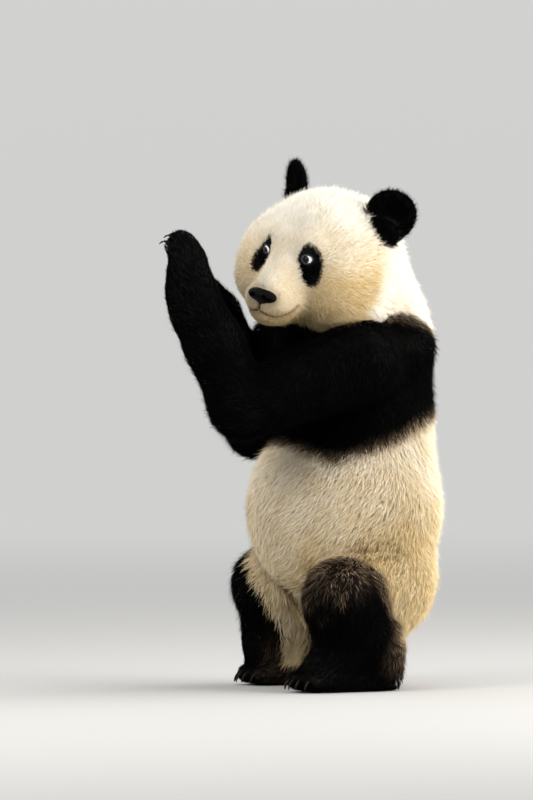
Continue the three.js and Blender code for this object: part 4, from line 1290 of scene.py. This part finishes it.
PATCH_SIDE = 0.003
RING = np.array([(0, 1.0), (-0.87, -0.5), (0.87, -0.5)])
TUFT_TRIS, TUFT_UV = [], []
for i in range(3):
    j = (i + 1) % 3
    TUFT_TRIS += [(1 + i, 1 + j, 0), (1 + i, 4, 1 + j)]
    a, b, m = i / 3, (i + 1) / 3, (i + 0.5) / 3
    TUFT_UV += [[(a, 0.45), (b, 0.45), (m, 0)], [(a, 0.45), (m, 1), (b, 0.45)]]
TUFT_TRIS, TUFT_UV = np.array(TUFT_TRIS), np.array(TUFT_UV) * PATCH_SIDE
NORMAL_MIX = 0.5


def tuft_arrays(pick):
    """Corners, normals and triangles of the picked tufts."""
    r, m, t, n, w = roots[pick], middles[pick], tips[pick], normals[pick], wide[pick]
    tilt = stray[pick] * 0.45
    count = len(pick)
    points, shading = np.empty((count, 5, 3)), np.empty((count, 5, 3))
    way = unit(t - r)
    side = unit(np.cross(way, n))
    out = np.cross(side, way)
    points[:, 0], shading[:, 0] = r - n * 1.2, n
    for i, (x, y) in enumerate(RING):
        ray = side * x + out * y * 0.6
        points[:, 1 + i] = m + ray * w[:, None]
        shading[:, 1 + i] = unit(unit(ray) * (1 - NORMAL_MIX) + n * NORMAL_MIX + tilt)
    points[:, 4], shading[:, 4] = t, unit(n + tilt)
    tris = (np.arange(count)[:, None, None] * 5 + TUFT_TRIS).reshape(-1, 3)
    return points.reshape(-1, 3), shading.reshape(-1, 3), tris


root_marks = marks(roots, root_rows)
root_marks["dark"] = ramp(-0.15, 0.15, root_marks["dark"] - chance.uniform(0.25, 0.75, TUFT_COUNT))
tuft_chance = 0.4 * chance.random(TUFT_COUNT) + 0.6 * clump_chance


def coat_piece(name, pick, uv):
    points, shading, tris = tuft_arrays(pick)
    each = {k: np.repeat(root_marks[k][pick], 5) for k in ("dark", "tan", "brown")}
    each["along"] = np.tile([0, 0.45, 0.45, 0.45, 1.0], len(pick))
    each["chance"] = np.repeat(tuft_chance[pick], 5)
    me = make_mesh(name, points, tris, each)
    layer = me.uv_layers.new(name="OFBake")
    corner_uv = uv[:, None, None, :] + TUFT_UV[None] - PATCH_SIDE / 2
    layer.data.foreach_set("uv", corner_uv.astype(np.float32).ravel())
    me.normals_split_custom_set_from_vertices(shading.astype(np.float32))
    return piece(name, me, FUR)


# %% Share the tufts out
MOST_TUFTS = 32000
home = np.argmin(root_rows, axis=0)
made_pieces = []
for index, kind in enumerate(PART_NAMES):
    mine = np.nonzero(home == index)[0]
    if not len(mine):
        continue
    turn, run = unwrap(kind, roots[mine])
    slices = int(np.ceil(len(mine) / MOST_TUFTS))
    edges = np.quantile(turn, np.linspace(0, 1, slices + 1))
    edges[-1] += 1e-6
    for k in range(slices):
        inside = (turn >= edges[k]) & (turn < edges[k + 1])
        uv = np.stack([
            fit(turn[inside], edges[k], edges[k + 1]), fit(run[inside], run.min(), run.max()),
        ], 1)
        label = f"coat_{kind}" + (f"_{k + 1}" if slices > 1 else "")
        made_pieces.append(coat_piece(label, mine[inside], uv))
for made in made_pieces:
    print(made.name, len(made.data.polygons), "triangles")

# %% [markdown]
# ## Eyes
# A panda's eye is small and dark, with a round pupil, a brown iris and a rim of white that shows
# when it looks sideways. The ball is a sphere whose front bulges into the cornea. How far a point
# is turned from the line of sight decides its colour.

# %% Eyeballs
GAZE = {"left": (-34, -6), "right": (-64, -10)}
IRIS_TURN, PUPIL_TURN = 40, 16


def gaze_of(name):
    """The line of sight: degrees to the right and up from the way back to the camera."""
    right, rise = np.radians(GAZE[name])
    flat = view_back * np.cos(right) + view_right * np.sin(right)
    return unit(flat * np.cos(rise) + view_up * np.sin(rise))


def eye_material():
    g = Graph("eye")
    turn = g.attribute("turn")
    streaks = g.noise(900.0, 4.0)
    soft = 1.6
    in_iris = g.clamped((IRIS_TURN + streaks * 1.5 - turn) / soft)
    in_pupil = g.clamped((PUPIL_TURN - turn) / soft)
    sclera = g.mixed(streaks * 0.4, (0.80, 0.83, 0.90), (0.52, 0.50, 0.50))
    iris = g.mixed(streaks, (0.004, 0.003, 0.002), (0.016, 0.009, 0.006))
    colour = g.mixed(in_pupil, g.mixed(in_iris, sclera, iris), (0.001, 0.001, 0.001))
    return g.finish(Base_Color=colour, Roughness=0.07, Specular_IOR_Level=0.20)


EYE = eye_material()
RINGS, SPOKES = 40, 48


def eyeball(at, gaze):
    side = unit(np.cross(gaze, (0, 0, 1)))
    up = np.cross(side, gaze)
    turns = np.linspace(0, np.pi, RINGS + 1)[1:-1]
    points, degrees = [at + gaze * (EYE_BALL + 0.9)], [0.0]
    for t in turns:
        bulge = EYE_BALL + 0.9 * ramp(np.radians(36), np.radians(12), np.array([t]))[0]
        for a in np.linspace(0, 2 * np.pi, SPOKES, endpoint=False):
            ray = gaze * np.cos(t) + (side * np.cos(a) + up * np.sin(a)) * np.sin(t)
            points.append(at + ray * bulge)
            degrees.append(np.degrees(t))
    points.append(at - gaze * EYE_BALL)
    degrees.append(180.0)
    last = len(points) - 1
    tris = []
    for i in range(SPOKES):
        j = (i + 1) % SPOKES
        tris.append((0, 1 + i, 1 + j))
        tris.append((last, last - SPOKES + j, last - SPOKES + i))
        for r in range(RINGS - 2):
            a, b = 1 + r * SPOKES, 1 + (r + 1) * SPOKES
            tris += [(a + i, b + i, b + j), (a + i, b + j, a + j)]
    return np.array(points), np.array(tris), {"turn": degrees}


for name, eye in EYES.items():
    ball = make_mesh(f"eyeball_{name}", *eyeball(eye["at"], gaze_of(name)))
    made = piece(f"eyeball_{name}", ball, EYE, [f"eye_{name}"])
    print(made.name, len(made.data.polygons), "triangles")

# %% [markdown]
# ## Nose
# The nose pad is bare, pebbled leather, wide at the top, with a comma shaped nostril on each side.
# It gets a finer grid than the body, since its nostrils are only a few millimetres across.

# %% Nose pad
nose_pad = blend(8, head_egg(NOSE_AT, NOSE_SIZE), head_egg(NOSE_AT + (0, 4, -12), [11, 9, 11]))
for _, s in SIDES:
    nose_pad = carve(nose_pad, head_egg([s * 13, -206, -52], [5.6, 12, 4.2]), 2)
    nose_pad = carve(nose_pad, head_egg([s * 20, -200, -56], [7, 9, 2.2]), 2)


def nose_material():
    g = Graph("nose_leather")
    where = Value(g, g.node("ShaderNodeTexCoord").outputs["Object"])
    pebbles = g.node("ShaderNodeTexVoronoi", {"feature": "DISTANCE_TO_EDGE"}, Vector=where, Scale=520.0)
    edge = Value(g, pebbles.outputs["Distance"])
    colour = g.mixed(g.noise(90.0), (0.0012, 0.0010, 0.0011), (0.004, 0.003, 0.0026))
    return g.finish(
        Base_Color=colour, Roughness=0.5 - edge * 0.3, Specular_IOR_Level=0.05,
        Normal=g.bump(edge, 0.5, 0.0006),
    )


nose_low = in_head(NOSE_AT) - 48
nose_axes = [np.arange(lo, lo + 96, 1.3) for lo in nose_low]
gx, gy, gz = np.meshgrid(*nose_axes, indexing="ij")
nose_values = nose_pad(np.stack([gx.ravel(), gy.ravel(), gz.ravel()], 1)).reshape(gx.shape)
nose_verts, nose_quads = quads_of(nose_values, nose_low, nose_axes[0][1] - nose_axes[0][0])
nose_tris = np.vstack([nose_quads[:, [0, 1, 2]], nose_quads[:, [0, 2, 3]]])
nose_mesh = make_mesh("nose_pad", nose_verts, nose_tris)
nose = piece("nose_pad", nose_mesh, nose_material(), ["nose"])
print(nose.name, len(nose.data.polygons), "triangles")

# %% [markdown]
# ## Claws
# Five short curved claws on each foot, thick at the root and blunt, mostly lost in the hair. Each
# is a swept ring of ten corners.

# %% Claws
CLAW_SIDES, CLAW_RADII = 10, np.linspace(4.2, 0.9, 11)


def claw_material():
    g = Graph("claw_horn")
    colour = g.mixed(g.noise(120.0), (0.004, 0.003, 0.003), (0.016, 0.012, 0.009))
    return g.finish(Base_Color=colour, Roughness=0.6, Specular_IOR_Level=0.12)


def sweep(path, radii, out, sides):
    points = []
    for i, p in enumerate(path):
        way = unit(path[min(i + 1, len(path) - 1)] - path[max(i - 1, 0)])
        side = unit(np.cross(way, out))
        up = np.cross(side, way)
        for a in np.linspace(0, 2 * np.pi, sides, endpoint=False):
            points.append(p + (side * np.cos(a) * 0.8 + up * np.sin(a)) * radii[i])
    last = len(path) - 1
    points += [path[0], path[-1] + unit(path[-1] - path[-2]) * radii[-1] * 0.8]
    start, end = len(points) - 2, len(points) - 1
    tris = []
    for m in range(sides):
        n = (m + 1) % sides
        tris += [(start, n, m), (end, last * sides + m, last * sides + n)]
        for i in range(last):
            a, b = i * sides, (i + 1) * sides
            tris += [(a + m, a + n, b + n), (a + m, b + n, b + m)]
    return np.array(points), np.array(tris)


HORN = claw_material()
for group, limbs in (("forepaw", ARMS), ("hindpaw", LEGS)):
    for name, limb in limbs.items():
        points, tris, count = [], [], 0
        for claw in limb["claws"]:
            p, t = sweep(smooth_line(claw, 2), CLAW_RADII, limb["claw_out"], CLAW_SIDES)
            points.append(p)
            tris.append(t + count)
            count += len(p)
        label = f"claws_{group}_{name}"
        piece(label, make_mesh(label, np.vstack(points), np.vstack(tris)), HORN)
print("claws: 20")

# %% [markdown]
# ## Floor and light
# A pale floor and a pale sky keep the eye on the animal. One broad lamp hangs high behind its back
# and whitens the crown and the nape as open sky does. One fills the front, and one stands low beside
# its left flank and warms the haunch. The floor is darker near the animal, because the lamps reach
# it there and would bleach it.

# %% Floor, sky and lamps
HORIZON, ZENITH = np.array([0.63, 0.63, 0.62]), np.array([0.98, 0.99, 0.99])
SKY_RISE = 0.55
SKY_SHARE = 0.909  # how near to the colour overhead the light is that a level floor receives
FLOOR_EASE, FLOOR_NEAR_SHADE = (1.0, 12.0), 0.72
AIM_HEIGHT = 0.62


def sky_colour():
    """A sky that is palest overhead and meets the far floor in its own colour."""
    g = Graph("sky", "worlds")
    way = g.node("ShaderNodeSeparateXYZ", {}, Value(g, g.node("ShaderNodeTexCoord").outputs["Generated"]))
    colour = g.mixed(g.eased(Value(g, way.outputs["Z"]), 0.0, SKY_RISE), HORIZON, ZENITH)
    light = g.node("ShaderNodeBackground", {}, colour, 1.0)
    out = g.node("ShaderNodeOutputWorld")
    g.tree.links.new(light.outputs[0], out.inputs["Surface"])
    return g.material


def floor_material():
    g = Graph("floor")
    received = HORIZON + SKY_SHARE * (ZENITH - HORIZON)
    shade = HORIZON / received
    place = Value(g, g.node("ShaderNodeTexCoord").outputs["Object"])
    away = g.node("ShaderNodeVectorMath", {"operation": "LENGTH"}, place)
    reach = g.eased(Value(g, away.outputs["Value"]), *FLOOR_EASE)
    colour = g.mixed(reach, shade * FLOOR_NEAR_SHADE, shade)
    return g.finish(Base_Color=colour, Roughness=1.0, Specular_IOR_Level=0.0)


FLOOR_REACH, FLOOR_SIDES = 90, 64
floor_me = bpy.data.meshes.new("floor")
turns = np.linspace(0, 2 * np.pi, FLOOR_SIDES, endpoint=False)
rim = [(FLOOR_REACH * np.cos(t), FLOOR_REACH * np.sin(t), 0) for t in turns]
floor_me.from_pydata(rim, [], [list(range(FLOOR_SIDES))])
floor_me.materials.append(floor_material())
floor = bpy.data.objects.new("floor", floor_me)
bpy.context.scene.collection.objects.link(floor)
bpy.context.scene.world = sky_colour()
bpy.context.scene.view_settings.view_transform = "Standard"


def lamp(name, at, size, power, colour):
    light = bpy.data.lights.new(name, "AREA")
    light.shape, light.size, light.size_y = "RECTANGLE", size, size
    light.energy, light.color = power, colour
    made = bpy.data.objects.new(name, light)
    made.location = at
    made.rotation_mode = "QUATERNION"
    made.rotation_quaternion = (Vector((0, 0, AIM_HEIGHT)) - Vector(at)).to_track_quat("-Z", "Y")
    bpy.context.scene.collection.objects.link(made)


lamp("sky_light", (0.2, 1.9, 3.1), 2.4, 68, (1.0, 0.98, 0.94))
lamp("front_fill", (0.9, -2.8, 2.3), 1.6, 66, (1.0, 0.975, 0.92))
lamp("flank_light", (2.3, 1.8, 0.8), 1.5, 92, (1.0, 0.95, 0.86))
print("floor, sky and three lamps are set")
